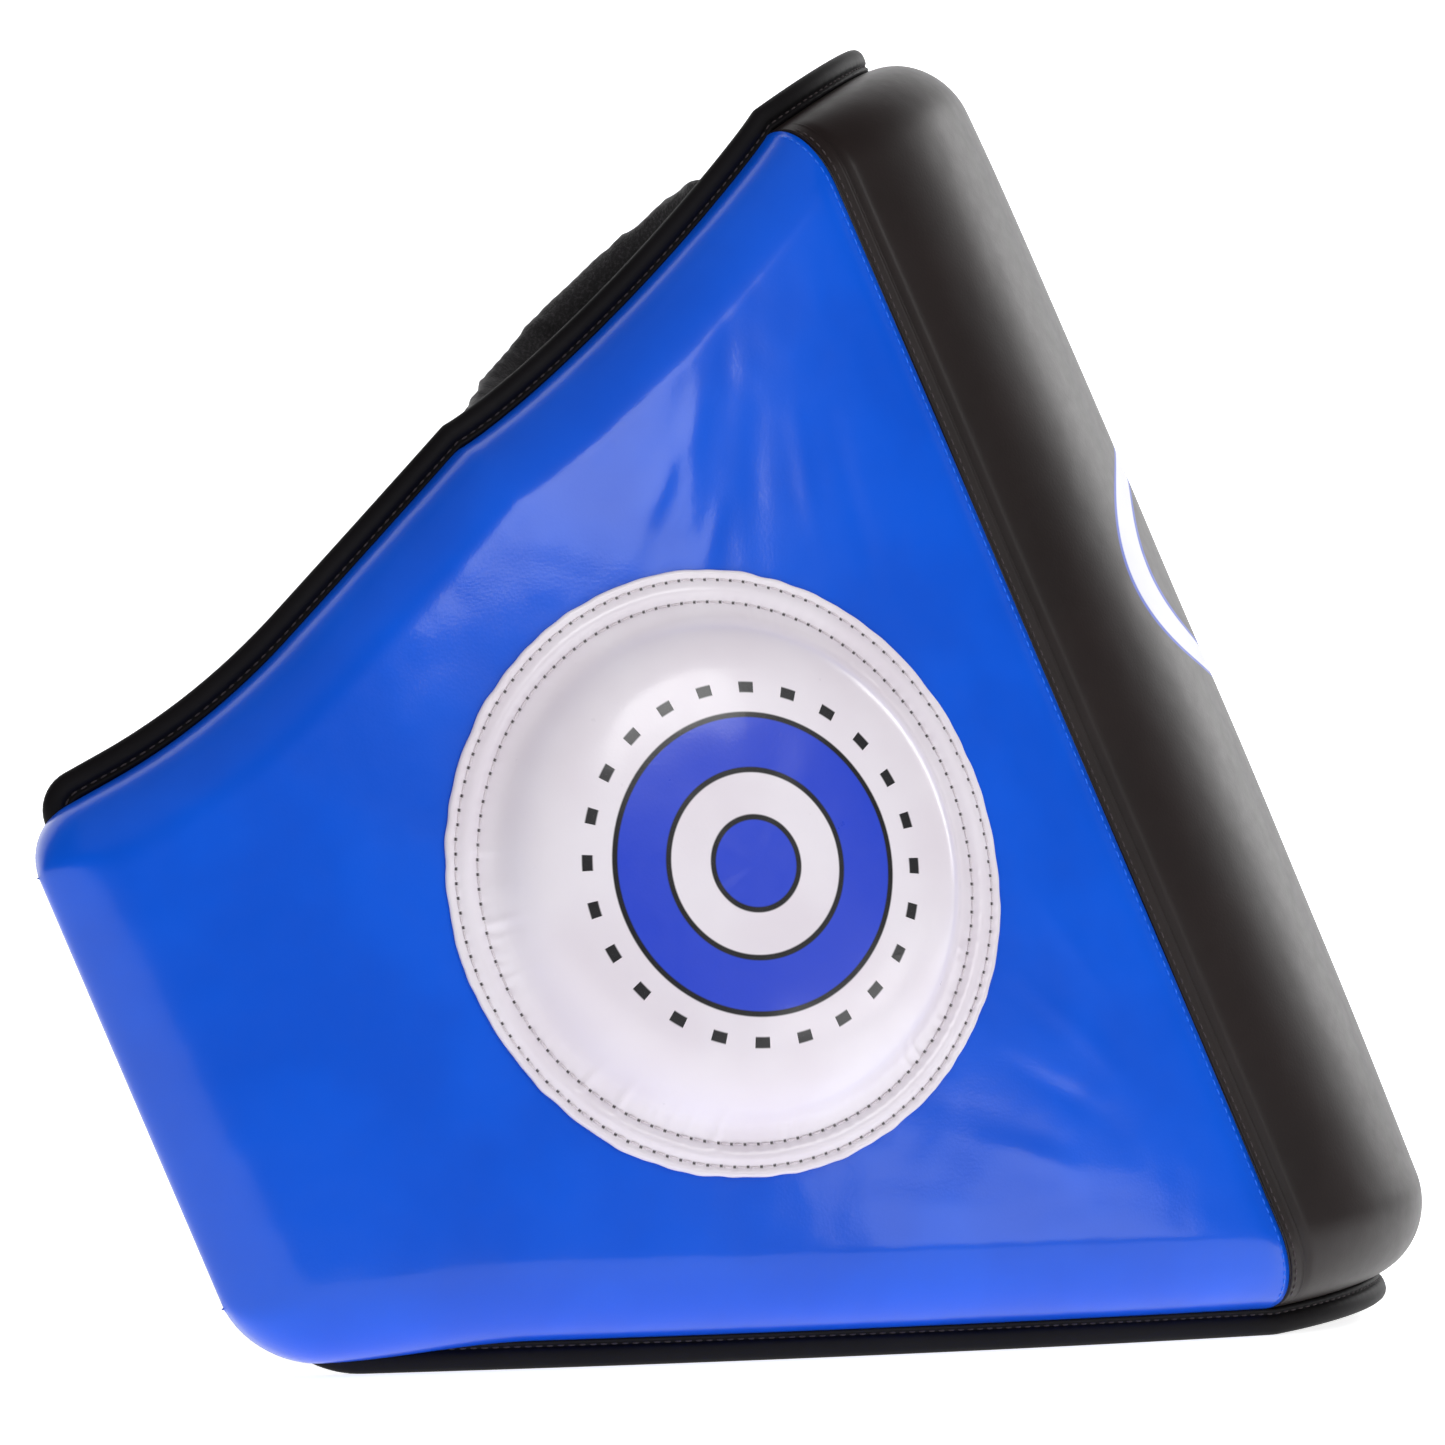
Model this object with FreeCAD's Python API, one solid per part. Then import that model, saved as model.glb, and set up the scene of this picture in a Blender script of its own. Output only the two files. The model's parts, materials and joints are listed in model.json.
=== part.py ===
# Wrap-around kick shield: a curved front pad with two hinged side pads, millimetres, +Z up.
# Everything is laid out "upright" (front pad vertical, the rear towards +Y) and is then tipped
# back by the cut angle of the lower rim, so that the shield stands on that rim at Z = 0.
import FreeCAD, Part
import math
import os

V = FreeCAD.Vector

# ---- plan shape (seen from above, outer face of the pads) ----
front_radius = 165.0        # bend of the front pad
front_half_angle = 60.0     # degrees from the middle of the front pad to a side seam
wing_length = 446.0         # side pad, seam to rear end, along the outer face
end_flare = 12.0            # degrees between the rear end of a side pad and straight back

# ---- side shape (upright heights of the bound rim) ----
lean_angle = 23.2           # slope of the cut along the lower rim
front_top_height = 627.0    # upper rim in the middle of the front
front_top_drop = 15.0       # how much lower the upper rim is at the seams
front_bottom_height = 25.0  # lower rim in the middle of the front
shoulder_height = 471.0     # start of the low rear shoulder
shoulder_run = 92.0         # length of the low shoulder
shoulder_drop = 10.0        # fall of the shoulder towards the rear end
shoulder_bend = 46.0        # length of the bend from the slope to the shoulder
slope_share = 0.42          # where the straight slope ends, as a share of its run
slope_rise = 0.435          # slope of the straight part of the upper rim
rear_corner_radius = 30.0   # lower rear corner of the binding
pad_corner_radius = 44.0    # lower rear corner of the pad
pad_top_radius = 24.0       # upper rear corner of the pad

# ---- pad section ----
pad_depth = 34.0            # outer face to lining
edge_radius = 33.0          # rounding of the pad along its rim, measured on the face
edge_lip = 4.0              # straight edge beside the binding
cover_wall = 1.2            # vinyl
lining_wall = 2.0           # textured lining with its scrim
impact_layer = 11.0         # dense outer foam
backing_layer = 5.0         # stiff sheet behind the front foam
fit = 0.3                   # gap between separate layers
core_slack = 0.8            # extra room round the foams inside the rounded edges
seam_gap = 0.4              # between a side pad and the front pad
end_bulge = 17.0            # depth of the roundest point of the rear end
end_tip = 5.0               # thickness left at that point
end_step = 1.5              # length over which the back steps in under the binding
thinnest = 0.8              # a layer ends where it would get thinner than this
rim_setback = 14.0          # the rear binding sits this far inside the rounded end

# ---- binding and seam strip ----
binding_width = 12.0
binding_depth = 5.0
binding_bite = 1.2          # how far the binding reaches in front of the lining
floor_trim = 4.0            # extra binding below the floor, cut off level
strip_width = 8.0
strip_rise = 1.2

# ---- round target ----
target_distance = 182.6     # from the seam
target_height = 322.0
target_diameter = 250.0
dome_diameter = 208.0
dome_rise = 22.0
dome_round = 17.0           # rounding of the dome's shoulder
dome_crown = 4.0            # fall from the middle of the dome to its shoulder
flange_wall = 1.8

# ---- forearm cuff ----
cuff_distance = 113.0       # middle of the cuff from the seam
cuff_tilt = 23.5            # its upper edge runs along the sloping rim
cuff_inner_width = 142.0
cuff_inner_reach = 72.0
cuff_pad_wall = 9.0
cuff_foot = 26.0
cuff_foot_wall = 3.5
cuff_foot_setback = 20.0    # the feet stop this far below the rim line
cuff_length = 112.0         # along the forearm
cuff_above_rim = -10.0      # middle of the upper edge over the line of the rim
cuff_crown = -9.0           # rise of the upper edge from its sides to its middle
strap_width = 50.0
strap_wall = 2.2
strap_drop = 49.0           # middle of the strap below the middle of the upper edge
ring_wire = 5.0
ring_opening = 13.0         # between the middles of the ring's long bars
ring_angle = 38.0           # degrees along the arch from the crown to the end of the strap
ring_lead = 5.0             # degrees further to the first bar of the ring
tab_lead = 24.0             # degrees further to the flat part of the ring's tab
tail_lead = 6.0             # degrees back to the flat part of the tail
ring_gap = 0.5
tail_angle = 78.0           # degrees of arch that the loose tail covers
tail_wall = 2.2

# ---- hand grip ----
grip_distance = 150.0
grip_height = 335.0
grip_tilt = 23.5
grip_span = 112.0
grip_reach = 46.0
grip_rise_run = 20.0
grip_foot = 34.0
web_width = 25.0
web_wall = 3.0
sleeve_diameter = 34.0
sleeve_length = 104.0
patch_wall = 1.6
patch_margin = 7.0

# ---- worked out from the values above ----
seam_angle = math.radians(front_half_angle)
seam_x = -front_radius * math.sin(seam_angle)
seam_y = front_radius * (1 - math.cos(seam_angle))
end_angle = math.radians(90 - end_flare)
wing_bend = (end_angle - seam_angle) / wing_length
seam_length = front_radius * seam_angle
rim_end = wing_length - rim_setback
floor_slope = math.tan(math.radians(lean_angle))
seam_top_height = front_top_height - front_top_drop
inner_face = pad_depth + lining_wall
big = 1200.0                # larger than the whole shield, for cutting tools
sink = 6.0                  # how deep a piece starts inside what it is trimmed against
wing_stations = 11          # sections of a side pad loft
front_stations = 16         # sections of a front pad loft
no_corner = -1e-6           # a station that still counts as the front pad


def plan_frame(s):
    """Point and outward normal of the outer face; s runs back from the seam, negative on the front."""
    if s < 0:
        a = seam_angle + s / front_radius
        x, y = -front_radius * math.sin(a), front_radius * (1 - math.cos(a))
    else:
        a = seam_angle + wing_bend * s
        x = seam_x - (math.sin(a) - math.sin(seam_angle)) / wing_bend
        y = seam_y + (math.cos(seam_angle) - math.cos(a)) / wing_bend
    return V(x, y, 0), V(-math.sin(a), -math.cos(a), 0)


def wing_frame(s):
    """The same for the side pad's own arc, carried on a little in front of the seam."""
    a = seam_angle + wing_bend * s
    x = seam_x - (math.sin(a) - math.sin(seam_angle)) / wing_bend
    y = seam_y + (math.cos(seam_angle) - math.cos(a)) / wing_bend
    return V(x, y, 0), V(-math.sin(a), -math.cos(a), 0)


def top_rim(s):
    """Upright height of the upper rim."""
    if s < 0:
        share = 1 + s / seam_length
        return front_top_height - front_top_drop * share * share
    slope_end = wing_length - shoulder_run
    knee = slope_share * slope_end
    start_rise = 2 * (seam_top_height - (shoulder_height + slope_rise * (slope_end - knee))) / knee
    start_rise -= slope_rise
    if s < knee:
        t = s / knee
        return seam_top_height - knee * (start_rise * t + (slope_rise - start_rise) * t * t / 2)
    fall = shoulder_drop / shoulder_run
    straight = shoulder_height + slope_rise * (slope_end - s)
    low = shoulder_height - fall * (s - slope_end)
    bend = (s - slope_end) / shoulder_bend
    if bend <= -1:
        return straight
    if bend >= 1:
        return low
    return low + (slope_rise - fall) * shoulder_bend * (1 - bend) ** 2 / 4


def bottom_rim(s):
    """Upright height of the lower rim: the floor line, raised at the front and the rear corner."""
    point, normal = plan_frame(s)
    floor = (point.y - normal.y * pad_depth) * floor_slope
    if s < 0:
        share = 1 + s / seam_length
        seam, seam_normal = plan_frame(0)
        seam_floor = (seam.y - seam_normal.y * pad_depth) * floor_slope
        return front_bottom_height + (seam_floor - front_bottom_height) * share * share
    return floor + corner_rise(s, rim_end, rear_corner_radius)


def corner_rise(s, end, radius):
    """How far a rounded rear corner has turned away at this station."""
    over = min(max(s - (end - radius), 0.0), 0.98 * radius)
    return radius - math.sqrt(radius * radius - over * over)


def pad_bottom(s):
    """Lower edge of the pad: above the binding, with its own larger corner."""
    bottom = bottom_rim(s) + binding_width
    if s < 0:
        return bottom
    bound = corner_rise(s, rim_end, rear_corner_radius)
    return bottom + max(corner_rise(s, wing_length, pad_corner_radius) - bound, 0.0)


def pad_top(s):
    """Upper edge of the pad: below the binding, rounded at the rear corner."""
    return top_rim(s) - binding_width - corner_rise(s, wing_length, pad_top_radius)


def edge_inset(depth, shrink):
    """How far the rounded pad edge stays inside the straight lip at this depth."""
    reach = pad_depth - edge_lip
    if depth >= reach:
        return shrink
    share = min((reach - depth) / (reach - shrink), 1.0)
    return edge_radius - (edge_radius - shrink) * math.sqrt(1 - share * share)


def pad_section(spot_frame, s, d0, d1, shrink=0.0):
    """Closed section of the pad between two depths, with rounded upper and lower edges."""
    point, normal = spot_frame
    top = pad_top(s)
    bottom = pad_bottom(s)
    reach = pad_depth - edge_lip

    def spot(d, z):
        return point - normal * d + V(0, 0, z)

    def high(d):
        return spot(d, top - edge_inset(d, shrink))

    def low(d):
        return spot(d, bottom + edge_inset(d, shrink))

    turn = min(reach, d1 - 0.01)
    mid = d0 + (turn - d0) * 0.3
    edges = [
        Part.Arc(high(d0), high(mid), high(turn)).toShape(),
        Part.makeLine(high(turn), high(d1)),
        Part.makeLine(high(d1), low(d1)),
        Part.makeLine(low(d1), low(turn)),
        Part.Arc(low(turn), low(mid), low(d0)).toShape(),
        Part.makeLine(low(d0), high(d0)),
    ]
    return Part.Wire(edges)


def spread(a, b, count):
    """Evenly spaced stations from a to b."""
    return [a + (b - a) * i / count for i in range(count + 1)]


def end_stations(shrink):
    """Stations round the rear end with the outer and inner depth of the pad there."""
    rows = []
    for angle in (25, 45, 62, 78, 90):
        turn = math.radians(angle)
        s = wing_length - edge_radius + (edge_radius - shrink) * math.sin(turn)
        outer = end_bulge - (end_bulge - shrink) * math.cos(turn)
        under = (s - rim_end) / rim_setback
        inner = pad_depth - binding_bite - fit
        if under > 0:
            inner -= (inner - end_bulge - end_tip) * min(under, 1.0)
        rows.append((s, outer, inner - shrink))
    return rows


def wing_loft(d0, d1, shrink, start, open_back=False):
    """Side pad body between two depths; with open_back it runs out through the lining side."""
    sections = []
    rim = rim_end - binding_width - fit
    under_binding = pad_depth - binding_bite - fit - shrink
    for s in spread(start, rim - end_step, wing_stations):
        back = d1 + sink / 2 if open_back else d1
        sections.append(pad_section(wing_frame(s), s, max(d0, shrink), back, shrink))
    sections.append(pad_section(wing_frame(rim), rim, max(d0, shrink), min(d1, under_binding), shrink))
    for s, outer, inner in end_stations(shrink):
        near, far = max(d0, outer), min(d1, inner)
        if far - near < thinnest:
            break
        if s > rim + end_step:
            sections.append(pad_section(wing_frame(s), s, near, far, shrink))
    return Part.makeLoft(sections, True, True)


def front_frame(u):
    """Point and outward normal of the front pad; u runs from seam to seam through 0."""
    a = u / front_radius
    return (V(front_radius * math.sin(a), front_radius * (1 - math.cos(a)), 0),
            V(math.sin(a), -math.cos(a), 0))


def front_rows(overrun=0.0):
    """Stations u from seam to seam, each with its distance s from the nearer seam."""
    half = seam_length + overrun
    return [(u, min(abs(u) - seam_length, no_corner)) for u in spread(-half, half, front_stations)]


def front_loft(d0, d1, shrink, overrun=0.0):
    """Front pad body between two depths, from seam to seam."""
    sections = [pad_section(front_frame(u), s, max(d0, shrink), d1, shrink) for u, s in front_rows(overrun)]
    return Part.makeLoft(sections, True, True)


def box_section(frame, s, d0, d1, z0, z1):
    """Plain four-sided section."""
    point, normal = frame(s)
    corners = [point - normal * d + V(0, 0, z) for d, z in ((d0, z0), (d1, z0), (d1, z1), (d0, z1))]
    return Part.makePolygon(corners + [corners[0]])


def curved_band(frame, s0, s1, d0, d1, z0, z1):
    """Smooth curved slab that follows a pad's arc."""
    def at(s, d):
        point, normal = frame(s)
        return point - normal * d + V(0, 0, z0)
    mid = (s0 + s1) / 2
    outline = Part.Wire([
        Part.Arc(at(s0, d0), at(mid, d0), at(s1, d0)).toShape(),
        Part.makeLine(at(s1, d0), at(s1, d1)),
        Part.Arc(at(s1, d1), at(mid, d1), at(s0, d1)).toShape(),
        Part.makeLine(at(s0, d1), at(s0, d0)),
    ])
    return Part.Face(outline).extrude(V(0, 0, z1 - z0))


def upright_floor_cut(shape):
    """Trims away what would reach below the floor."""
    slab = Part.makeBox(big, 2 * big, big, V(-big / 2, -big, -big))
    slab.rotate(V(0, 0, 0), V(1, 0, 0), lean_angle)
    return shape.cut(slab)


def wing_cover():
    outer = wing_loft(0.0, pad_depth, 0.0, seam_gap)
    inner = wing_loft(0.0, pad_depth, cover_wall, seam_gap - sink, open_back=True)
    return outer.cut(inner)


def wing_impact_foam():
    return wing_loft(0.0, impact_layer, cover_wall + fit, seam_gap)


def wing_core_foam():
    return wing_loft(impact_layer + fit, pad_depth - fit, cover_wall + core_slack, seam_gap)


def wing_lining():
    sections = []
    for s in spread(seam_gap, rim_end - binding_width - fit, wing_stations):
        z0 = bottom_rim(s) + binding_width + fit
        z1 = top_rim(s) - binding_width - fit
        sections.append(box_section(wing_frame, s, pad_depth, inner_face, z0, z1))
    return Part.makeLoft(sections, True, True)


def binding_side(frame, stations, height, side):
    """One run of the binding along the upper (side 1) or lower (side -1) rim."""
    sections = []
    d0 = pad_depth - binding_bite
    extra = 0.0 if side > 0 else floor_trim
    for s, rim_s in stations:
        rim = height(rim_s)
        z0, z1 = sorted((rim - side * (binding_width - fit), rim + side * extra))
        sections.append(box_section(frame, s, d0, d0 + binding_depth, z0, z1))
    return Part.makeLoft(sections, True, True)


def wing_binding():
    stations = spread(seam_gap, rim_end - rear_corner_radius, wing_stations - 2)
    stations += spread(rim_end - rear_corner_radius * 0.75, rim_end, 4)
    rows = [(s, s) for s in stations]
    top = binding_side(wing_frame, rows, top_rim, 1)
    bottom = upright_floor_cut(binding_side(wing_frame, rows, bottom_rim, -1))
    d0 = pad_depth - binding_bite
    z0, z1 = bottom_rim(rim_end) + 2, top_rim(rim_end) - 2
    end = curved_band(wing_frame, rim_end - binding_width, rim_end, d0, d0 + binding_depth, z0, z1)
    return top.fuse([bottom, end]).removeSplitter()


def front_binding(height, side):
    shape = binding_side(front_frame, front_rows(), height, side)
    return upright_floor_cut(shape) if side < 0 else shape


def front_lining():
    sections = []
    for u, s in front_rows():
        z0 = bottom_rim(s) + binding_width + fit
        z1 = top_rim(s) - binding_width - fit
        sections.append(box_section(front_frame, u, pad_depth, inner_face, z0, z1))
    return Part.makeLoft(sections, True, True)


def front_cover():
    outer = front_loft(0.0, pad_depth, 0.0)
    inner = front_loft(0.0, pad_depth + sink / 2, cover_wall, sink)
    return outer.cut(inner)


def seam_strip():
    """Flat tape over the front edge of the seam, on the -X side."""
    sections = []
    u0 = -seam_length
    for u in spread(u0, u0 + strip_width, 2):
        s = min(abs(u) - seam_length, no_corner)
        z0 = bottom_rim(s) + binding_width + edge_radius
        z1 = top_rim(s) - binding_width - edge_radius
        sections.append(box_section(front_frame, u, -strip_rise, 0.0, z0, z1))
    return Part.makeLoft(sections, True, True)


def local_axes(s, height, tilt):
    """Placement on the lining: local X forward along the pad, Y inwards, Z up, turned by tilt."""
    point, normal = wing_frame(s)
    origin = point - normal * inner_face + V(0, 0, height)
    inward = V(0, 0, 0) - normal
    up = V(0, 0, 1)
    forward = inward.cross(up)
    c, n = math.cos(math.radians(tilt)), math.sin(math.radians(tilt))
    along = forward * c + up * n
    above = up * c - forward * n
    m = FreeCAD.Matrix(along.x, inward.x, above.x, origin.x,
                       along.y, inward.y, above.y, origin.y,
                       along.z, inward.z, above.z, origin.z, 0, 0, 0, 1)
    return FreeCAD.Placement(m)


def hollow_rise(x, tilt):
    """How far the hollow lining has come up at x from a piece's middle."""
    level = x * math.cos(math.radians(tilt))
    return level * level / (2 * (1 / wing_bend - inner_face))


def placed(shape, placement):
    moved = shape.copy()
    moved.Placement = placement.multiply(moved.Placement)
    return moved


def puck(radius, rise, rounding):
    """Round pad with a rounded shoulder and a slightly crowned top, axis along -Y (outwards)."""
    base = 2 * sink
    shoulder = rise - dome_crown
    quarter = 1 - math.sqrt(0.5)
    profile = Part.Wire([
        Part.makeLine(V(0, base, 0), V(radius, base, 0)),
        Part.makeLine(V(radius, base, 0), V(radius, -shoulder + rounding, 0)),
        Part.Arc(V(radius, -shoulder + rounding, 0),
                 V(radius - quarter * rounding, -shoulder + quarter * rounding, 0),
                 V(radius - rounding, -shoulder, 0)).toShape(),
        Part.makeLine(V(radius - rounding, -shoulder, 0), V(0, -rise, 0)),
        Part.makeLine(V(0, -rise, 0), V(0, base, 0)),
    ])
    return Part.Face(profile).revolve(V(0, 0, 0), V(0, 1, 0), 360)


def target_placement():
    placement = local_axes(target_distance, target_height, 0.0)
    point, normal = wing_frame(target_distance)
    placement.Base = point + V(0, 0, target_height)
    return placement


def target_region(d0, d1):
    half = target_diameter * 0.6
    return curved_band(wing_frame, target_distance - half, target_distance + half, d0, d1,
                     target_height - half, target_height + half)


def target_foam():
    radius = dome_diameter / 2 - cover_wall - fit
    dome = puck(radius, dome_rise - cover_wall - fit, dome_round - cover_wall)
    return placed(dome, target_placement()).cut(target_region(-fit, 40.0))


def target_cover():
    radius = dome_diameter / 2
    shell = puck(radius, dome_rise, dome_round)
    shell = shell.cut(puck(radius - cover_wall, dome_rise - cover_wall, dome_round - cover_wall))
    shell = placed(shell, target_placement()).cut(target_region(-fit, 40.0))
    ring = Part.makeCylinder(target_diameter / 2, 60.0, V(0, 30, 0), V(0, -1, 0))
    ring = ring.cut(Part.makeCylinder(radius - cover_wall, 60.0, V(0, 30, 0), V(0, -1, 0)))
    ring = placed(ring, target_placement()).common(target_region(-fit - flange_wall, -fit))
    return shell.fuse(ring).removeSplitter()


def cuff_placement():
    return local_axes(cuff_distance, top_rim(cuff_distance), cuff_tilt)


def arch_arc(grow):
    """Half-round arch over the forearm, as centre, radius and half angle."""
    half = cuff_inner_width / 2
    rise = cuff_inner_reach
    radius = (half * half + rise * rise) / (2 * rise)
    centre = rise - radius
    return centre, radius + grow


def arch_point(grow, angle):
    """Point of the arch, angle measured from the crown towards the front foot."""
    centre, radius = arch_arc(grow)
    return V(radius * math.sin(angle), centre + radius * math.cos(angle), 0)


def arch_foot_angle(grow, level):
    centre, radius = arch_arc(grow)
    return math.acos((level - centre) / radius)


def arch_band(grow0, grow1, angle0, angle1, z0, z1):
    """Curved band over the arch between two angles."""
    mid = (angle0 + angle1) / 2
    outline = Part.Wire([
        Part.Arc(arch_point(grow0, angle0), arch_point(grow0, mid), arch_point(grow0, angle1)).toShape(),
        Part.makeLine(arch_point(grow0, angle1), arch_point(grow1, angle1)),
        Part.Arc(arch_point(grow1, angle1), arch_point(grow1, mid), arch_point(grow1, angle0)).toShape(),
        Part.makeLine(arch_point(grow1, angle0), arch_point(grow0, angle0)),
    ])
    return Part.Face(outline).extrude(V(0, 0, z1 - z0)).translated(V(0, 0, z0))


def lining_trim(shape):
    """Cuts a placed piece off just above the linings and the upper binding."""
    height = front_top_height + sink
    face = inner_face + fit
    wing = curved_band(wing_frame, -sink, wing_length, 0.0, face, 0.0, height)
    front = curved_band(front_frame, -seam_length, 0.0, 0.0, face, 0.0, height)
    top = pad_depth - binding_bite + binding_depth + fit
    sections = []
    for s in spread(-sink, wing_length - shoulder_run, wing_stations):
        low = top_rim(s) - binding_width - fit
        sections.append(box_section(wing_frame, s, pad_depth, top, low, low + 4 * binding_width))
    return shape.cut([wing, front, Part.makeLoft(sections, True, True)])


def inner_foot():
    """Distance from the middle of the cuff to the near edge of a foot."""
    return cuff_inner_width / 2 + 1.0


def foot_level():
    """Top of the cuff's feet over the middle of its hollow base."""
    return cuff_foot_wall + fit + hollow_rise(inner_foot() + cuff_foot / 2, cuff_tilt)


def cuff_pad():
    """Padded half-round cuff with two stitched feet and a crowned upper edge."""
    angle = arch_foot_angle(0.0, -2.0)
    arch = arch_band(0.0, cuff_pad_wall, -angle, angle, -cuff_length, cuff_above_rim)
    near = inner_foot()
    feet = []
    for x0 in (-near - cuff_foot, near):
        feet.append(Part.makeBox(cuff_foot, foot_level() + sink, cuff_length - cuff_foot_setback,
                                 V(x0, -sink, -cuff_length)))
    half = cuff_inner_width / 2 + cuff_pad_wall
    side_level = cuff_above_rim - cuff_crown
    crown = Part.Wire([
        Part.Arc(V(-half, -sink, side_level), V(0, -sink, cuff_above_rim),
                 V(half, -sink, side_level)).toShape(),
        Part.makeLine(V(half, -sink, side_level), V(half, -sink, -cuff_length)),
        Part.makeLine(V(half, -sink, -cuff_length), V(-half, -sink, -cuff_length)),
        Part.makeLine(V(-half, -sink, -cuff_length), V(-half, -sink, side_level)),
    ])
    arch = arch.common(Part.Face(crown).extrude(V(0, big, 0)))
    return lining_trim(placed(arch.fuse(feet), cuff_placement()))


def strap_level():
    """Lower and upper edge of the strap, measured from the rim."""
    middle = cuff_above_rim - strap_drop
    return middle - strap_width / 2, middle + strap_width / 2


def cuff_strap():
    """Wide loop strap sewn over the cuff, from the front foot to the ring."""
    z0, z1 = strap_level()
    grow = cuff_pad_wall + fit
    front = arch_foot_angle(grow, foot_level() + fit)
    band = arch_band(grow, grow + strap_wall, -math.radians(ring_angle), front, z0, z1)
    return placed(band, cuff_placement())


def bar_centre(index):
    """Middle of a long bar of the ring: 0 carries the tail, 1 the tab."""
    grow = cuff_pad_wall + fit + strap_wall + ring_gap + ring_wire / 2
    step = 2 * math.asin(ring_opening / 2 / arch_arc(grow)[1])
    return arch_point(grow, -math.radians(ring_angle + ring_lead) - index * step)


def cuff_ring():
    """Rectangular wire ring that the tail passes round."""
    z0, z1 = strap_level()
    z0, z1 = z0 - ring_wire / 2 - fit, z1 + ring_wire / 2 + fit
    radius = ring_wire / 2
    ends = [bar_centre(0), bar_centre(1)]
    across = ends[1] - ends[0]
    bars = []
    for end in ends:
        bars.append(Part.makeCylinder(radius, z1 - z0, V(end.x, end.y, z0)))
        bars += [Part.makeSphere(radius, V(end.x, end.y, z)) for z in (z0, z1)]
    for z in (z0, z1):
        bars.append(Part.makeCylinder(radius, across.Length, V(ends[0].x, ends[0].y, z), across))
    return placed(bars[0].fuse(bars[1:]).removeSplitter(), cuff_placement())


def looped_band(bar, grow, wall, angle0, angle1, narrow=0.0):
    """Strap over the arch whose first end is sewn round a bar of the ring."""
    z0, z1 = strap_level()
    z0, z1 = z0 + narrow, z1 - narrow
    band = arch_band(grow, grow + wall, *sorted((angle0, angle1)), z0, z1)
    centre = bar_centre(bar)
    hole = Part.makeCylinder(ring_wire / 2 + fit, z1 - z0, V(centre.x, centre.y, z0))
    eye = Part.makeCylinder(ring_wire / 2 + fit + wall, z1 - z0, V(centre.x, centre.y, z0))
    link_end = arch_point(grow + wall / 2, angle0) - centre
    link = Part.makeBox(link_end.Length, wall, z1 - z0, V(0, -wall / 2, z0))
    link.rotate(V(0, 0, 0), V(0, 0, 1), math.degrees(math.atan2(link_end.y, link_end.x)))
    link.translate(centre)
    return placed(band.fuse([eye, link]).cut(hole).removeSplitter(), cuff_placement())


def cuff_ring_tab():
    """Short webbing that ties the ring's lower bar to the rear foot."""
    grow = cuff_pad_wall + fit
    rear = arch_foot_angle(grow, foot_level() + fit)
    start = math.radians(ring_angle + tab_lead)
    return looped_band(1, grow, strap_wall, -start, -rear)


def cuff_tail():
    """Loose hook-and-loop tail, folded back over the strap from the ring."""
    grow = cuff_pad_wall + 2 * fit + strap_wall
    start = -math.radians(ring_angle - tail_lead)
    return looped_band(0, grow, tail_wall, start, start + math.radians(tail_angle), 1.0)


def grip_placement():
    return local_axes(grip_distance, grip_height, grip_tilt)


def grip_outline(low, wall):
    """Side outline of the webbing: foot, rise, straight grip, fall, foot."""
    half = grip_span / 2
    out = half + grip_rise_run
    end = out + grip_foot
    rise = grip_reach
    toe, heel = (low + hollow_rise(x, grip_tilt) for x in (end, out))
    under = [V(-end, toe, 0), V(-out, heel, 0), V(-half, rise, 0)]
    under += [V(half, rise, 0), V(out, heel, 0), V(end, toe, 0)]
    over = [p + V(0, wall, 0) for p in reversed(under)]
    return Part.makePolygon(under + over + [under[0]])


def grip_web():
    low = patch_wall + fit
    web = Part.Face(grip_outline(low, web_wall)).extrude(V(0, 0, web_width))
    web.translate(V(0, 0, -web_width / 2))
    return placed(web, grip_placement())


def grip_sleeve():
    centre = grip_reach + web_wall / 2
    sleeve = Part.makeCylinder(sleeve_diameter / 2, sleeve_length, V(-sleeve_length / 2, centre, 0), V(1, 0, 0))
    slot = Part.makeBox(sleeve_length + 2, web_wall + 2 * fit, web_width + 2 * fit,
                        V(-sleeve_length / 2 - 1, grip_reach - fit, -web_width / 2 - fit))
    return placed(sleeve.cut(slot), grip_placement())


def grip_patches():
    """Two stitched patches under the ends of the webbing."""
    near = grip_span / 2 + grip_rise_run - patch_margin
    far = near + grip_foot + 2 * patch_margin
    height = web_width + 2 * patch_margin
    patches = []
    for side in (-1, 1):
        top = [V(side * x, patch_wall + hollow_rise(x, grip_tilt), -height / 2) for x in (near, far)]
        corners = top + [V(side * far, -sink, -height / 2), V(side * near, -sink, -height / 2)]
        patch = Part.Face(Part.makePolygon(corners + corners[:1])).extrude(V(0, 0, height))
        patches.append(lining_trim(placed(patch, grip_placement())))
    return Part.makeCompound(patches)


def mirrored(shape):
    return shape.mirror(V(0, 0, 0), V(1, 0, 0))


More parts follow.
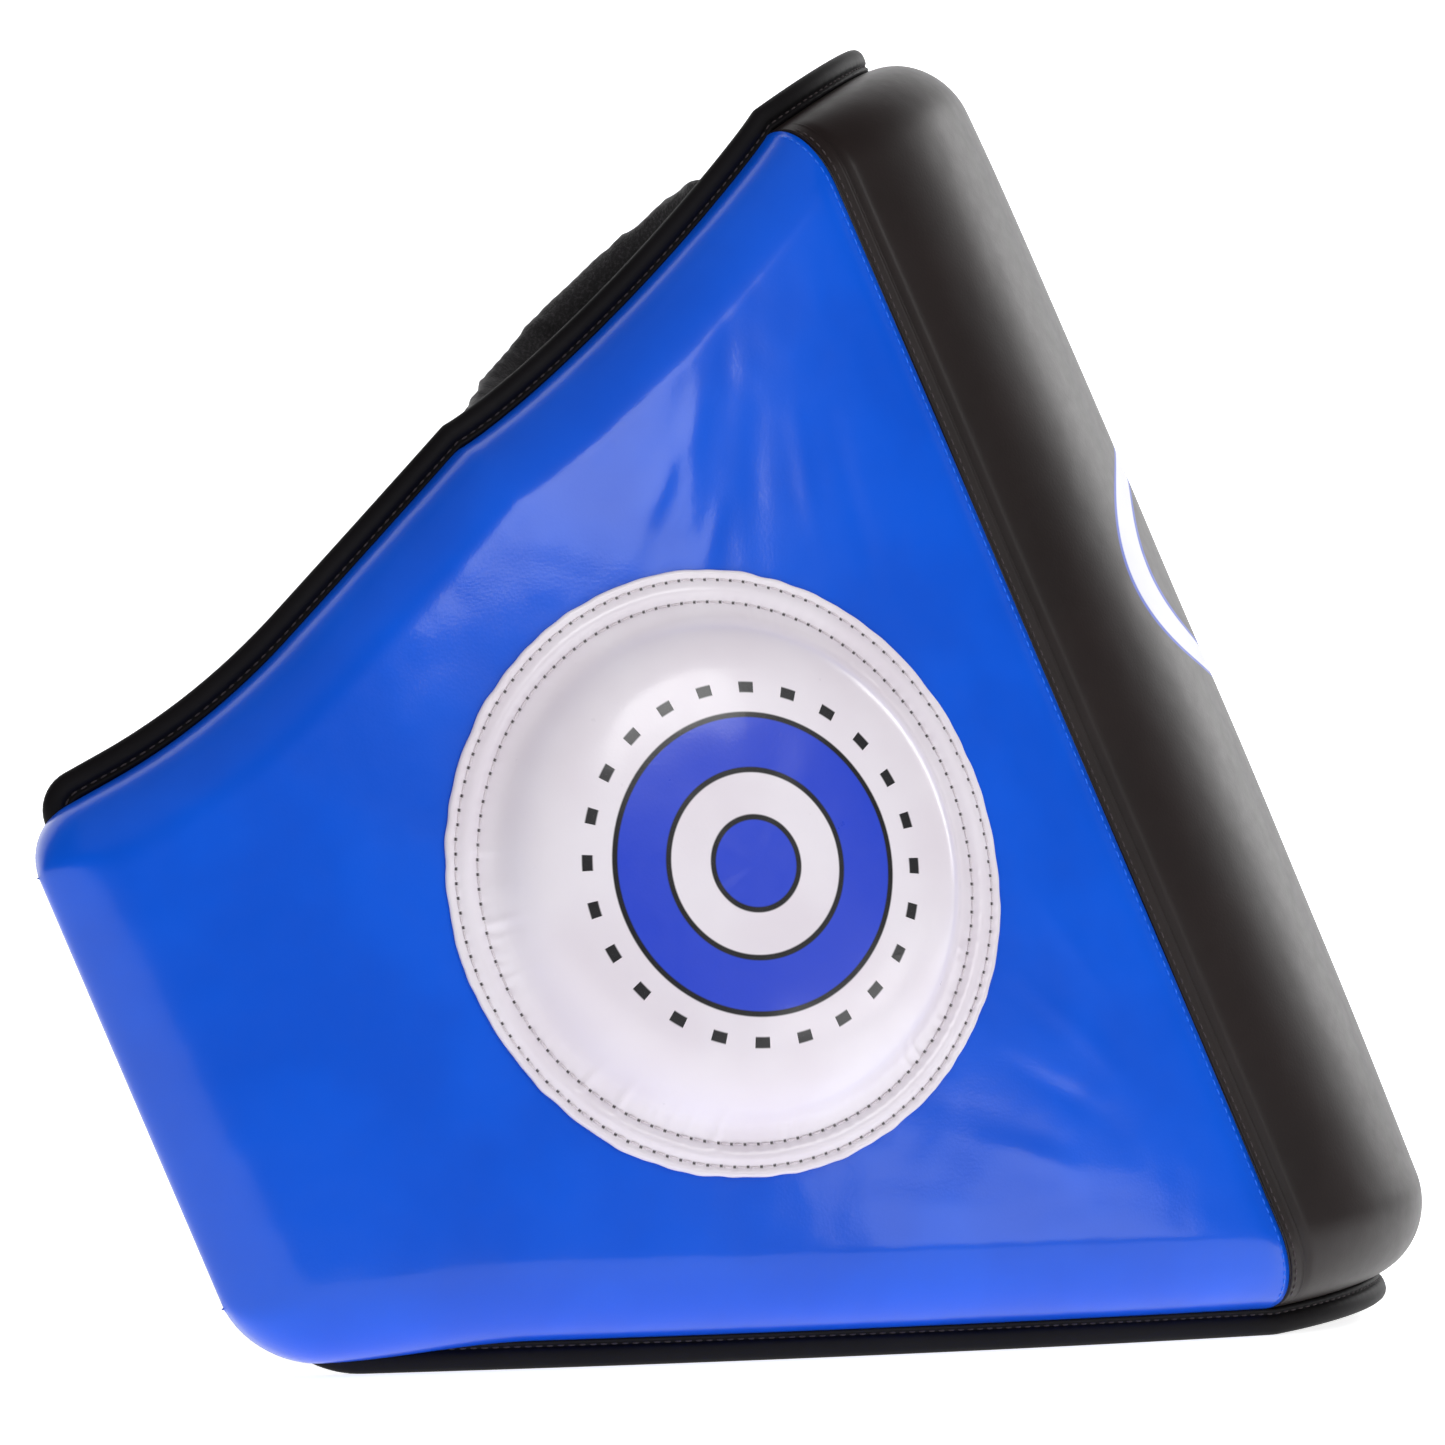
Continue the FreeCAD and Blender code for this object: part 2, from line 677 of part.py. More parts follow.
def build():
    """All pieces in the upright layout, by node name."""
    nodes = {
        "front_cover": front_cover(),
        "front_impact_foam": front_loft(0.0, impact_layer, cover_wall + fit),
        "front_core_foam": front_loft(impact_layer + fit, pad_depth - backing_layer - 2 * fit,
                                      cover_wall + core_slack),
        "front_backing_sheet": front_loft(pad_depth - backing_layer - fit, pad_depth - fit, cover_wall + fit),
        "front_lining": front_lining(),
        "front_top_binding": front_binding(top_rim, 1),
        "front_bottom_binding": front_binding(bottom_rim, -1),
    }
    makers = {
        "seam_strip": seam_strip,
        "wing_cover": wing_cover,
        "wing_impact_foam": wing_impact_foam,
        "wing_core_foam": wing_core_foam,
        "wing_lining": wing_lining,
        "wing_binding": wing_binding,
        "target_foam": target_foam,
        "target_cover": target_cover,
        "cuff_pad": cuff_pad,
        "cuff_strap": cuff_strap,
        "cuff_ring": cuff_ring,
        "cuff_ring_tab": cuff_ring_tab,
        "cuff_tail": cuff_tail,
        "grip_web": grip_web,
        "grip_sleeve": grip_sleeve,
        "grip_patches": grip_patches,
    }
    for name, maker in makers.items():
        shape = maker()
        nodes["right_" + name] = shape
        nodes["left_" + name] = mirrored(shape)
    return nodes


def tipped(shape):
    """Turns an upright shape so that its lower rim lies level."""
    turned = shape.copy()
    turned.rotate(V(0, 0, 0), V(1, 0, 0), -lean_angle)
    return turned


def main():
    os.makedirs("parts", exist_ok=True)
    nodes = {name: tipped(shape) for name, shape in build().items()}
    box = Part.makeCompound(list(nodes.values())).optimalBoundingBox(True, False)
    shift = V(0, -(box.YMin + box.YMax) / 2, 0)
    for name, shape in sorted(nodes.items()):
        shape.translate(shift)
        shape.exportStep("parts/" + name + ".step")
        solids = len(shape.Solids)
        print(f"{name:26s} solids {solids} valid {shape.isValid()} volume {shape.Volume / 1000:.1f} cm3")
    print("size", round(box.XLength, 1), round(box.YLength, 1), round(box.ZLength, 1), "floor", round(box.ZMin, 3))
    up = V(0, math.sin(math.radians(lean_angle)), math.cos(math.radians(lean_angle)))
    seam = Part.Vertex(V(seam_x, seam_y, 0))
    seam.rotate(V(0, 0, 0), V(1, 0, 0), -lean_angle)
    print("seam axis through", seam.Point + shift, "along", up)
    ring = placed(Part.Vertex(bar_centre(0)), cuff_placement())
    tip = placed(Part.Vertex(bar_centre(0) + V(0, 0, 1)), cuff_placement())
    for spot in (ring, tip):
        spot.rotate(V(0, 0, 0), V(1, 0, 0), -lean_angle)
    print("ring axis through", ring.Point + shift, "along", tip.Point - ring.Point)


main()
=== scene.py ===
# %% [markdown]
# # A wrap-around kick shield
# A curved black front pad and two blue side pads are sewn together at two seams.
# Each side pad carries a round white target outside and a forearm cuff and a hand grip inside.
# The sizes come from the CAD frame. Blender adds the vinyl, the sewing and the soft shapes.

# %% Load the frame
import json
import math
import bmesh
import bpy
from mathutils import Matrix, Vector, noise


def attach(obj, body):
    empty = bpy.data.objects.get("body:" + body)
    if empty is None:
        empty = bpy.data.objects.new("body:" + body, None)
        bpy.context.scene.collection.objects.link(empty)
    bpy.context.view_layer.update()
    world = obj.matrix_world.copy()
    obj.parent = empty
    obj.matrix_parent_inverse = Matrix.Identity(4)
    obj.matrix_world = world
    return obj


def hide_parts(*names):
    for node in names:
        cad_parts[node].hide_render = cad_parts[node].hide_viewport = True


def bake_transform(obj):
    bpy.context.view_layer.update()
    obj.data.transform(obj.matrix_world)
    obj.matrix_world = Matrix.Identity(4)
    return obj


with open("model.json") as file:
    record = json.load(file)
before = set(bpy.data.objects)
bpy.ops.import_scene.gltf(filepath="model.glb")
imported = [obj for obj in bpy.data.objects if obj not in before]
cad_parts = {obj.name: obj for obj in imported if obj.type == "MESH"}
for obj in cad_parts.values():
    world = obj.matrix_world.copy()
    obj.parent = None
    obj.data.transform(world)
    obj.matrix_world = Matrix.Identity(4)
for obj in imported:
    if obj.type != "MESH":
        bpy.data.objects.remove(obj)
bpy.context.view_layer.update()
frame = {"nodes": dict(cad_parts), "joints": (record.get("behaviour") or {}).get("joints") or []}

joints = {joint["name"]: joint for joint in frame["joints"]}

# %% [markdown]
# ## The pattern of the shield
# Such a shield is cut flat and bent round the body. So every point of it has three numbers:
# s, the distance back from a seam along the outer face (negative on the front pad), z, its height
# while the front stands upright, and d, its depth under the outer face. The rim's heights are
# the sizes that the CAD model was made with. The shield is laid out upright, and then it is
# tipped back until its lower rim lies level, which the seam hinge's axis gives.

# %% Sizes in metres
BEND_RADIUS = 0.165
SEAM_ANGLE = math.radians(60)
WING = 0.446
WING_BEND = math.radians(78 - 60) / WING
FRONT_HALF = BEND_RADIUS * SEAM_ANGLE
DEPTH = 0.034
LINING = 0.002
EDGE = 0.033
LIP = 0.004
BIND = 0.012
RIM_END = WING - 0.014
END_DEPTH = 0.017
FRONT_TOP, FRONT_TOP_DROP, FRONT_BOTTOM = 0.627, 0.015, 0.025
SHOULDER_RUN, SHOULDER, SHOULDER_DROP, SHOULDER_BEND = 0.092, 0.471, 0.010, 0.046
SLOPE_SHARE, SLOPE_RISE = 0.42, 0.435
DIP, DIP_RUN, DIP_FULLNESS = 0.0124, 0.205, 0.8
BOUND_CORNER, PAD_LOW_CORNER, PAD_TOP_CORNER = 0.030, 0.030, 0.024
VINYL_WALL = 0.0011
seam_axis = Vector(joints["right_wing_flex"]["axis"])
seam_foot = Vector(joints["right_wing_flex"]["pos_m"])
LEAN = math.atan2(seam_axis.y, seam_axis.z)
SEAM_X = -BEND_RADIUS * math.sin(SEAM_ANGLE)
SEAM_Y = BEND_RADIUS * (1 - math.cos(SEAM_ANGLE))
tip = Matrix.Rotation(-LEAN, 4, "X")
to_rest = Matrix.Translation(seam_foot - tip @ Vector((SEAM_X, SEAM_Y, 0))) @ tip
print("lean in degrees", round(math.degrees(LEAN), 2))


# %% Rim heights and the bent plan
def top_line(s):
    """Line that the upper rim is cut to: level over the front, a long slope, a low shoulder."""
    if s < 0:
        return FRONT_TOP - FRONT_TOP_DROP * (1 + s / FRONT_HALF) ** 2
    slope_end, fall = WING - SHOULDER_RUN, SHOULDER_DROP / SHOULDER_RUN
    seam_top = FRONT_TOP - FRONT_TOP_DROP
    knee = SLOPE_SHARE * slope_end
    first = 2 * (seam_top - (SHOULDER + SLOPE_RISE * (slope_end - knee))) / knee - SLOPE_RISE
    if s < knee:
        t = s / knee
        return seam_top - knee * (first * t + (SLOPE_RISE - first) * t * t / 2)
    bend = (s - slope_end) / SHOULDER_BEND
    if bend <= -1:
        return SHOULDER + SLOPE_RISE * (slope_end - s)
    low = SHOULDER - fall * (s - slope_end)
    return low if bend >= 1 else low + (SLOPE_RISE - fall) * SHOULDER_BEND * (1 - bend) ** 2 / 4


def top_rim(s):
    """Height of the sewn upper rim, which the cuff draws in a little."""
    if s <= 0 or s >= DIP_RUN:
        return top_line(s)
    return top_line(s) - DIP * math.sin(math.pi * s / DIP_RUN) ** DIP_FULLNESS


def corner(s, end, radius):
    """How far a rounded corner has turned away at s."""
    over = min(max(s - (end - radius), 0), 0.98 * radius)
    return radius - math.sqrt(radius * radius - over * over)


def plan(s):
    """Place and outward direction of the outer face, seen from above."""
    if s < 0:
        a = SEAM_ANGLE + s / BEND_RADIUS
        x, y = -BEND_RADIUS * math.sin(a), BEND_RADIUS * (1 - math.cos(a))
    else:
        a = SEAM_ANGLE + WING_BEND * s
        x = SEAM_X - (math.sin(a) - math.sin(SEAM_ANGLE)) / WING_BEND
        y = SEAM_Y + (math.cos(SEAM_ANGLE) - math.cos(a)) / WING_BEND
    return Vector((x, y, 0)), Vector((-math.sin(a), -math.cos(a), 0))


def floor_line(s):
    """Height of the level cut under the shield's lower rim."""
    place, out = plan(s)
    return (place.y - out.y * DEPTH) * math.tan(LEAN)


def bottom_rim(s):
    """Height of the lower rim: on the floor under the side pads, raised under the front."""
    if s < 0:
        return FRONT_BOTTOM + (floor_line(0) - FRONT_BOTTOM) * (1 + s / FRONT_HALF) ** 2
    return floor_line(s) + corner(s, RIM_END, BOUND_CORNER)


def wrap(s, d, z):
    """The place in the shield at rest of a point of the pattern, on the -X side."""
    place, out = plan(s)
    return to_rest @ (place - out * d + Vector((0, 0, z)))


print("upper rim at seam and rear", round(top_rim(0), 3), round(top_rim(WING), 3))

# %% [markdown]
# ## Two helpers for sewn pieces
# Most pieces are sheets that follow the bent pad. A sheet starts as a flat bmesh grid, and each
# of its points is then moved to its place. Its UV map keeps the flat pattern in metres, so that
# sewing and prints follow the cloth. The left half of the shield is a mirrored copy.


# %% Grid and mirror helpers
def sheet_grid(columns, rows, place, pattern=None, closed=False):
    """A grid whose point at column i, row j goes to place(i, j)."""
    bm = bmesh.new()
    bmesh.ops.create_grid(bm, x_segments=columns, y_segments=rows, size=0.5)
    uv = bm.loops.layers.uv.new("pattern")
    cells = {}
    for v in bm.verts:
        cells[v] = (round((v.co.x + 0.5) * columns), round((v.co.y + 0.5) * rows))
    if pattern:
        for face in bm.faces:
            for loop in face.loops:
                loop[uv].uv = pattern(*cells[loop.vert])
    for v, (i, j) in cells.items():
        v.co = place(i, j)
    if closed:
        bmesh.ops.remove_doubles(bm, verts=bm.verts, dist=2e-5)
    return bm


def piece_from(bm, name, finish, facing=None, smooth=True):
    """Makes the object. facing is (point, direction): the face nearest the point looks that way."""
    bmesh.ops.recalc_face_normals(bm, faces=bm.faces)
    if facing:
        point, way = facing
        nearest = min(bm.faces, key=lambda f: (f.calc_center_median() - point).length_squared)
        if nearest.normal.dot(way) < 0:
            bmesh.ops.reverse_faces(bm, faces=bm.faces)
    for face in bm.faces:
        face.smooth = smooth
    mesh = bpy.data.meshes.new(name)
    bm.to_mesh(mesh)
    bm.free()
    piece = bpy.data.objects.new(name, mesh)
    bpy.context.collection.objects.link(piece)
    if finish:
        mesh.materials.append(finish)
    return piece


def mirrored(piece, name):
    """The same piece for the left half."""
    bm = bmesh.new()
    bm.from_mesh(piece.data)
    bmesh.ops.scale(bm, vec=(-1, 1, 1), verts=bm.verts)
    bmesh.ops.reverse_faces(bm, faces=bm.faces)
    mesh = bpy.data.meshes.new(name)
    bm.to_mesh(mesh)
    bm.free()
    for material in piece.data.materials:
        mesh.materials.append(material)
    copy = bpy.data.objects.new(name, mesh)
    bpy.context.collection.objects.link(copy)
    return copy


def modify(piece, kind, **settings):
    """Adds a modifier and applies it, so that the mesh is final."""
    modifier = piece.modifiers.new(kind.title(), kind)
    for key, value in settings.items():
        setattr(modifier, key, value)
    bpy.context.view_layer.update()
    evaluated = piece.evaluated_get(bpy.context.evaluated_depsgraph_get())
    mesh = bpy.data.meshes.new_from_object(evaluated, depsgraph=bpy.context.evaluated_depsgraph_get())
    mesh.name = piece.name
    piece.modifiers.remove(modifier)
    piece.data = mesh
    return piece


# %% Sewing of the round target
STITCH_PITCH = 0.0059
STITCH_ROWS = 0.1112, 0.1206        # radii of the inner and outer row
print("stitches in the rows", [round(2 * math.pi * at / STITCH_PITCH) for at in STITCH_ROWS])


# %% [markdown]
# ## Materials
# The outside is PU-coated vinyl: cloth with a plastic skin that was rolled hot against a grained
# drum. The skin gives a clear gloss over a full colour, and the stretched cloth under it gives
# slow waves. One function makes a finish from a few numbers, and one adds a node.


# %% Node helper and colour
def colour(code):
    """An sRGB hex code as a linear colour."""
    parts = [int(code[i:i + 2], 16) / 255 for i in (1, 3, 5)]
    return [c / 12.92 if c <= 0.04045 else ((c + 0.055) / 1.055) ** 2.4 for c in parts] + [1.0]


def add(tree, kind, inputs=None, **settings):
    """Adds a node, sets its settings, and sets or links its inputs."""
    node = tree.nodes.new("ShaderNode" + kind)
    for key, value in settings.items():
        setattr(node, key, value)
    for key, value in (inputs or {}).items():
        if isinstance(value, bpy.types.NodeSocket):
            tree.links.new(value, node.inputs[key])
        else:
            node.inputs[key].default_value = value
    return node


def new_finish(name, **sockets):
    """A material with its Principled shader's plain values set."""
    finish = bpy.data.materials.new(name)
    finish.use_nodes = True
    shader = finish.node_tree.nodes["Principled BSDF"]
    for key, value in sockets.items():
        shader.inputs[key.replace("_", " ")].default_value = value
    return finish, finish.node_tree, shader


def mixed(tree, share, first, second, blend="MIX"):
    """Colour mix of two codes or sockets."""
    node = add(tree, "Mix", {0: share}, data_type="RGBA", blend_type=blend)
    for slot, value in ((6, first), (7, second)):
        if isinstance(value, bpy.types.NodeSocket):
            tree.links.new(value, node.inputs[slot])
        else:
            node.inputs[slot].default_value = colour(value) if isinstance(value, str) else value
    return node.outputs[2]


def maths(tree, operation, a, b=0.0, c=0.0):
    """Result of one sum on values or sockets."""
    return add(tree, "Math", {0: a, 1: b, 2: c}, operation=operation).outputs[0]


def ramp(tree, value, low, high, out_low=0.0, out_high=1.0):
    """Smooth step of a value."""
    inputs = {"Value": value, "From Min": low, "From Max": high, "To Min": out_low, "To Max": out_high}
    return add(tree, "MapRange", inputs, interpolation_type="SMOOTHSTEP").outputs[0]


# %% Vinyl
def vinyl(name, base, shade, rough, grain_mm, grain_depth, wave_depth, coat, prints=None, shine=0.5):
    """PU-coated vinyl, calendered: fine drum grain, slow waves of the cloth, a clear skin."""
    finish, tree, shader = new_finish(name, Coat_Weight=coat, Coat_Roughness=0.12, IOR=1.5,
                                      Specular_IOR_Level=shine)
    place = add(tree, "TexCoord").outputs["Object"]
    slow = add(tree, "TexNoise", {"Vector": place, "Scale": 1 / 0.055, "Detail": 2.0}).outputs[0]
    fine = add(tree, "TexNoise", {"Vector": place, "Scale": 1 / 0.006, "Detail": 3.0}).outputs[0]
    grain = add(tree, "TexVoronoi", {"Vector": place, "Scale": 1000 / grain_mm, "Randomness": 1.0},
                feature="SMOOTH_F1").outputs["Distance"]
    tone = mixed(tree, ramp(tree, slow, 0.3, 0.7), shade, base)
    if prints:
        tone = prints(tree, tone)
    tree.links.new(tone, shader.inputs["Base Color"])
    spread = maths(tree, "MULTIPLY_ADD", fine, 0.10, rough - 0.05)
    tree.links.new(spread, shader.inputs["Roughness"])
    waves = add(tree, "Bump", {"Height": slow, "Distance": wave_depth, "Strength": 1.0})
    skin = add(tree, "Bump", {"Height": grain, "Distance": grain_depth, "Strength": 0.6,
                              "Normal": waves.outputs[0]})
    tree.links.new(skin.outputs[0], shader.inputs["Normal"])
    tree.links.new(skin.outputs[0], shader.inputs["Coat Normal"])
    return finish


def ring_distance(tree, across, up, narrow=1.0):
    """Distance from a point of the pattern, in metres; narrow below 1 makes rings wide ovals."""
    uv = add(tree, "UVMap", uv_map="pattern").outputs[0]
    part = add(tree, "SeparateXYZ", {0: uv})
    x = maths(tree, "MULTIPLY", maths(tree, "SUBTRACT", part.outputs[0], across), narrow)
    y = maths(tree, "SUBTRACT", part.outputs[1], up)
    squares = maths(tree, "ADD", maths(tree, "MULTIPLY", x, x), maths(tree, "MULTIPLY", y, y))
    r = maths(tree, "SQRT", squares)
    return r, maths(tree, "ARCTAN2", y, x)


def band(tree, r, low, high, soft=0.0004):
    """1 inside a ring between two radii."""
    inside = ramp(tree, r, low - soft, low + soft)
    return maths(tree, "MULTIPLY", inside, ramp(tree, r, high - soft, high + soft, 1.0, 0.0))


def painted(tree, tone, layers, wear):
    """Lays screen-printed inks over the vinyl, a little worn."""
    for share, ink in layers:
        tone = mixed(tree, maths(tree, "MULTIPLY", share, wear), tone, ink)
    return tone


def target_print(tree, tone):
    """A plain bullseye: blue ring and dot, each outlined in black, black ticks, and painted shade in the needle
    holes.
    """
    r, angle = ring_distance(tree, 0.0, 0.0)
    specks = add(tree, "TexNoise", {"Scale": 900.0, "Detail": 2.0}).outputs[0]
    wear = ramp(tree, specks, 0.22, 0.36, 0.8, 1.0)
    turn = maths(tree, "FRACT", maths(tree, "MULTIPLY", angle, 24 / (2 * math.pi)))
    tick = maths(tree, "LESS_THAN", maths(tree, "ABSOLUTE", maths(tree, "SUBTRACT", turn, 0.5)), 0.17)
    ticks = maths(tree, "MULTIPLY", band(tree, r, 0.0700, 0.0745), tick)
    layers = [(band(tree, r, 0.0370, 0.0620), "#08080A"), (band(tree, r, 0.0393, 0.0597), "#1F3FC4"),
              (band(tree, r, -1.0, 0.0200), "#08080A"), (band(tree, r, -1.0, 0.0177), "#1F3FC4"),
              (ticks, "#1A191C")]
    tone = painted(tree, tone, layers, wear)
    # Dark dots between the stitches, colour #3A3336, are painted shade in the needle holes.
    for at in STITCH_ROWS:
        turn = maths(tree, "MULTIPLY", angle, round(2 * math.pi * at / STITCH_PITCH) / (2 * math.pi))
        off = maths(tree, "ABSOLUTE", maths(tree, "SUBTRACT", maths(tree, "FRACT", turn), 0.5))
        needle_hole_shade = maths(tree, "MULTIPLY", band(tree, r, at - 0.0006, at + 0.0006), ramp(tree, off, 0.36, 0.42))
        tone = mixed(tree, needle_hole_shade, tone, "#3A3336")
    return tone


def front_print(tree, tone):
    """A white oval ring and dot with a thin blue outline in the middle of the front."""
    r = ring_distance(tree, 0.0, 0.364, 0.6)[0]
    layers = [(band(tree, r, 0.0430, 0.0590), "#2A48B8"), (band(tree, r, 0.0450, 0.0575), "#DADAE0"),
              (band(tree, r, -1.0, 0.0165), "#2A48B8"), (band(tree, r, -1.0, 0.0150), "#DADAE0")]
    return painted(tree, tone, layers, 0.96)


# Gloss calendered skin: full colour, a clear coat that keeps the edge of a reflected soft box
blue_vinyl = vinyl("PU_vinyl_calendered_gloss_blue", "#0054D4", "#004ECA", 0.32, 1.1, 0.00003, 0.0010, 0.34,
                   shine=0.22)
# Satin calendered skin: the same grain, duller, so that only broad pale sheens show
black_vinyl = vinyl("PU_vinyl_calendered_satin_black", "#1E1615", "#1A1312", 0.42, 1.1, 0.00004, 0.0008, 0.0,
                    shine=0.32)
print_vinyl = vinyl("PU_vinyl_calendered_satin_black_screen_printed", "#1E1615", "#1A1312", 0.42, 1.1,
                    0.00004, 0.0008, 0.0, front_print, shine=0.32)
# The inks lie in the skin under its gloss and are worn in tiny specks
white_vinyl = vinyl("PU_vinyl_calendered_gloss_white_screen_printed", "#E3DDE4", "#DCD4DC", 0.30, 1.2,
                    0.00003, 0.0005, 0.30, target_print)
# Extruded tape has no clear coat, and stays the darkest of the vinyls
binding_vinyl = vinyl("PVC_binding_tape_extruded_black", "#100E10", "#0C0A0C", 0.55, 0.9, 0.00005, 0.0003, 0.0,
                      shine=0.15)
print("vinyls made")


# %% [markdown]
# The inside is made of cloth. Lining and cuffs are brushed loop fabric, which shows as a dark
# felt with light specks, and straps are woven webbing. Foam hides inside but is given its own
# open-cell finish all the same. The ring is bent steel wire, nickel plated.


# %% Cloths, foams and steel
def cloth(name, base, light, thread_mm, depth, fuzz=0.3, woven=False):
    """Woven or brushed polyester: matt threads, sheen from the stray fibres."""
    finish, tree, shader = new_finish(name, Roughness=0.92, Sheen_Weight=fuzz, Sheen_Roughness=0.5)
    place = add(tree, "TexCoord").outputs["Object"]
    scale = 1000 / thread_mm
    fleck = add(tree, "TexNoise", {"Vector": place, "Scale": scale, "Detail": 4.0, "Roughness": 0.7}).outputs[0]
    height = fleck
    if woven:
        wave = add(tree, "TexWave", {"Vector": place, "Scale": scale / 6.3, "Distortion": 1.2, "Detail": 1.0},
                   wave_type="BANDS", bands_direction="DIAGONAL")
        height = maths(tree, "ADD", maths(tree, "MULTIPLY", fleck, 0.5), wave.outputs[1])
    tone = mixed(tree, ramp(tree, fleck, 0.46, 0.72), base, light)
    tree.links.new(tone, shader.inputs["Base Color"])
    bump = add(tree, "Bump", {"Height": height, "Distance": depth, "Strength": 1.0})
    tree.links.new(bump.outputs[0], shader.inputs["Normal"])
    return finish


def foam(name, base, shade, cell_mm):
    """Moulded foam: a matt skin of small open cells."""
    finish, tree, shader = new_finish(name, Roughness=0.95)
    place = add(tree, "TexCoord").outputs["Object"]
    cells = add(tree, "TexVoronoi", {"Vector": place, "Scale": 1000 / cell_mm}).outputs["Distance"]
    tree.links.new(mixed(tree, ramp(tree, cells, 0.1, 0.5), shade, base), shader.inputs["Base Color"])
    bump = add(tree, "Bump", {"Height": cells, "Distance": 0.0004})
    tree.links.new(bump.outputs[0], shader.inputs["Normal"])
    return finish


lining_cloth = cloth("polyester_mesh_lining_knitted_black", "#161416", "#242124", 1.6, 0.0004, 0.2, True)
loop_cloth = cloth("nylon_loop_fabric_brushed_black", "#151315", "#3A363A", 1.3, 0.0006, 0.35)
strap_cloth = cloth("nylon_hook_and_loop_woven_black", "#131214", "#2A282B", 0.8, 0.0004, 0.25, True)
web_cloth = cloth("polypropylene_webbing_woven_black", "#141315", "#262427", 1.4, 0.0005, 0.1, True)
thread_black = cloth("polyester_thread_bonded_black", "#3A3234", "#574D50", 0.4, 0.0001, 0.1)
thread_blue = cloth("polyester_thread_bonded_blue", "#1F6BE6", "#3F86F2", 0.4, 0.0001, 0.1)
thread_white = cloth("polyester_thread_bonded_white", "#CFC6CC", "#E4DDE2", 0.4, 0.0001, 0.1)
grip_vinyl = vinyl("PVC_grip_sleeve_embossed_black", "#1A1718", "#141213", 0.5, 1.6, 0.00012, 0.0003, 0.05)
dense_foam = foam("EVA_foam_closed_cell_grey", "#3A3A3C", "#2C2C2E", 0.9)
soft_foam = foam("polyurethane_foam_open_cell_cream", "#DCD8CA", "#C9C3B0", 1.6)
stiff_foam = foam("polyethylene_foam_sheet_black", "#29292A", "#1E1E1F", 1.0)
ring_steel, tree, shader = new_finish("steel_wire_bent_nickel_plated", Metallic=1.0)
place = add(tree, "TexCoord").outputs["Object"]
draw_marks = add(tree, "TexNoise", {"Vector": place, "Scale": 400.0, "Detail": 3.0}).outputs[0]
tree.links.new(mixed(tree, draw_marks, "#B9B7B2", "#D2D0CB"), shader.inputs["Base Color"])
tree.links.new(maths(tree, "MULTIPLY_ADD", draw_marks, 0.2, 0.14), shader.inputs["Roughness"])
print("materials", len(bpy.data.materials))


# %% [markdown]
# ## The pad covers
# A cover is one skin stretched over foam. Its section goes up the short straight lip beside the
# binding, round the edge of the foam, across the face, and back down. The face swells a little
# in the middle, pulls in beside a seam, and carries a few slack creases. At the rear end the
# section sinks round the end of the foam and comes back under the binding.


# %% Section of a pad
LIP_END, ARC_END = 0.018, 0.135      # shares of a section's rows taken by lip and rounded edge


def section(row):
    """Depth and inset of a row of the section, and its share of the face's height."""
    half = min(row, 1 - row)
    if half <= LIP_END:
        return DEPTH - LIP * half / LIP_END, 0.0, 0.0
    if half <= ARC_END:
        turn = (half - LIP_END) / (ARC_END - LIP_END) * math.pi / 2
        return (DEPTH - LIP) * (1 - math.sin(turn)), EDGE * (1 - math.cos(turn)), 0.0
    return 0.0, EDGE, (half - ARC_END) / (0.5 - ARC_END) / 2


def section_point(row, low, high):
    """Depth and height on a section between two lips."""
    depth, inset, share = section(row)
    span = high - low - 2 * inset
    z = low + inset + share * span if row <= 0.5 else high - inset - share * span
    return depth, z


CREASE_DEPTH = 0.00045
CREASES = [  # s, z, direction in degrees, length, width, share of the depth (below 0: a ridge)
    (0.118, 0.492, -58, 0.060, 0.0050, 0.8), (0.098, 0.470, -64, 0.075, 0.0060, -0.7),
    (0.142, 0.478, -40, 0.050, 0.0045, 0.7), (0.076, 0.462, -72, 0.060, 0.0045, 0.6),
    (0.160, 0.505, -28, 0.045, 0.0050, 0.5), (0.060, 0.440, -80, 0.065, 0.0050, -0.6),
    (0.128, 0.452, -50, 0.030, 0.0035, 0.6), (0.090, 0.512, -60, 0.040, 0.0050, -0.5),
    (0.062, 0.205, 62, 0.055, 0.0050, 0.6), (0.082, 0.185, 50, 0.050, 0.0050, -0.6),
    (0.045, 0.235, 75, 0.050, 0.0045, 0.5), (0.105, 0.165, 38, 0.040, 0.0050, 0.5),
    (0.040, 0.330, 88, 0.080, 0.0060, 0.4), (0.300, 0.425, -24, 0.060, 0.0090, 0.6),
    (0.352, 0.395, -15, 0.050, 0.0080, -0.5), (0.408, 0.425, 35, 0.016, 0.0060, 0.9),
]


def crease(s, z):
    """Height of the slack creases at a point of the side pad."""
    total = 0.0
    for cs, cz, degrees, length, width, depth in CREASES:
        a = math.radians(degrees)
        ds, dz = s - cs, z - cz
        along = ds * math.cos(a) + dz * math.sin(a)
        across = -ds * math.sin(a) + dz * math.cos(a) + 0.06 * along * along / length
        total += depth * CREASE_DEPTH * math.exp(-(along / length) ** 2 * 4 - (across / width) ** 2)
    return total


def swell(s, z, low, high):
    """How far the stretched skin stands out of the plain face."""
    up = 2 * (z - low) / (high - low) - 1
    if s < 0:
        back = 1 - abs(1 + s / FRONT_HALF) ** 6
        crown = 0.0035 * (1 - up ** 4) * back
    else:
        back = 1 - abs(2 * s / WING - 1) ** 4
        crown = 0.0045 * (1 - up ** 4) * (0.35 + 0.65 * back)
    slow = 0.0007 * noise.noise(Vector((s * 11, z * 11, 0.5 if s < 0 else 3.5)))
    return crown + slow + (crease(s, z) if s >= 0 else 0.0)


def seam_pull(s):
    """The skin is drawn in beside the seam."""
    if s >= 0:
        return -0.0024 * math.exp(-(s / 0.006) ** 2)
    return -0.0022 if s > -0.0078 else -0.0022 * math.exp(-((s + 0.0078) / 0.0022) ** 2)


print("creases", len(CREASES))


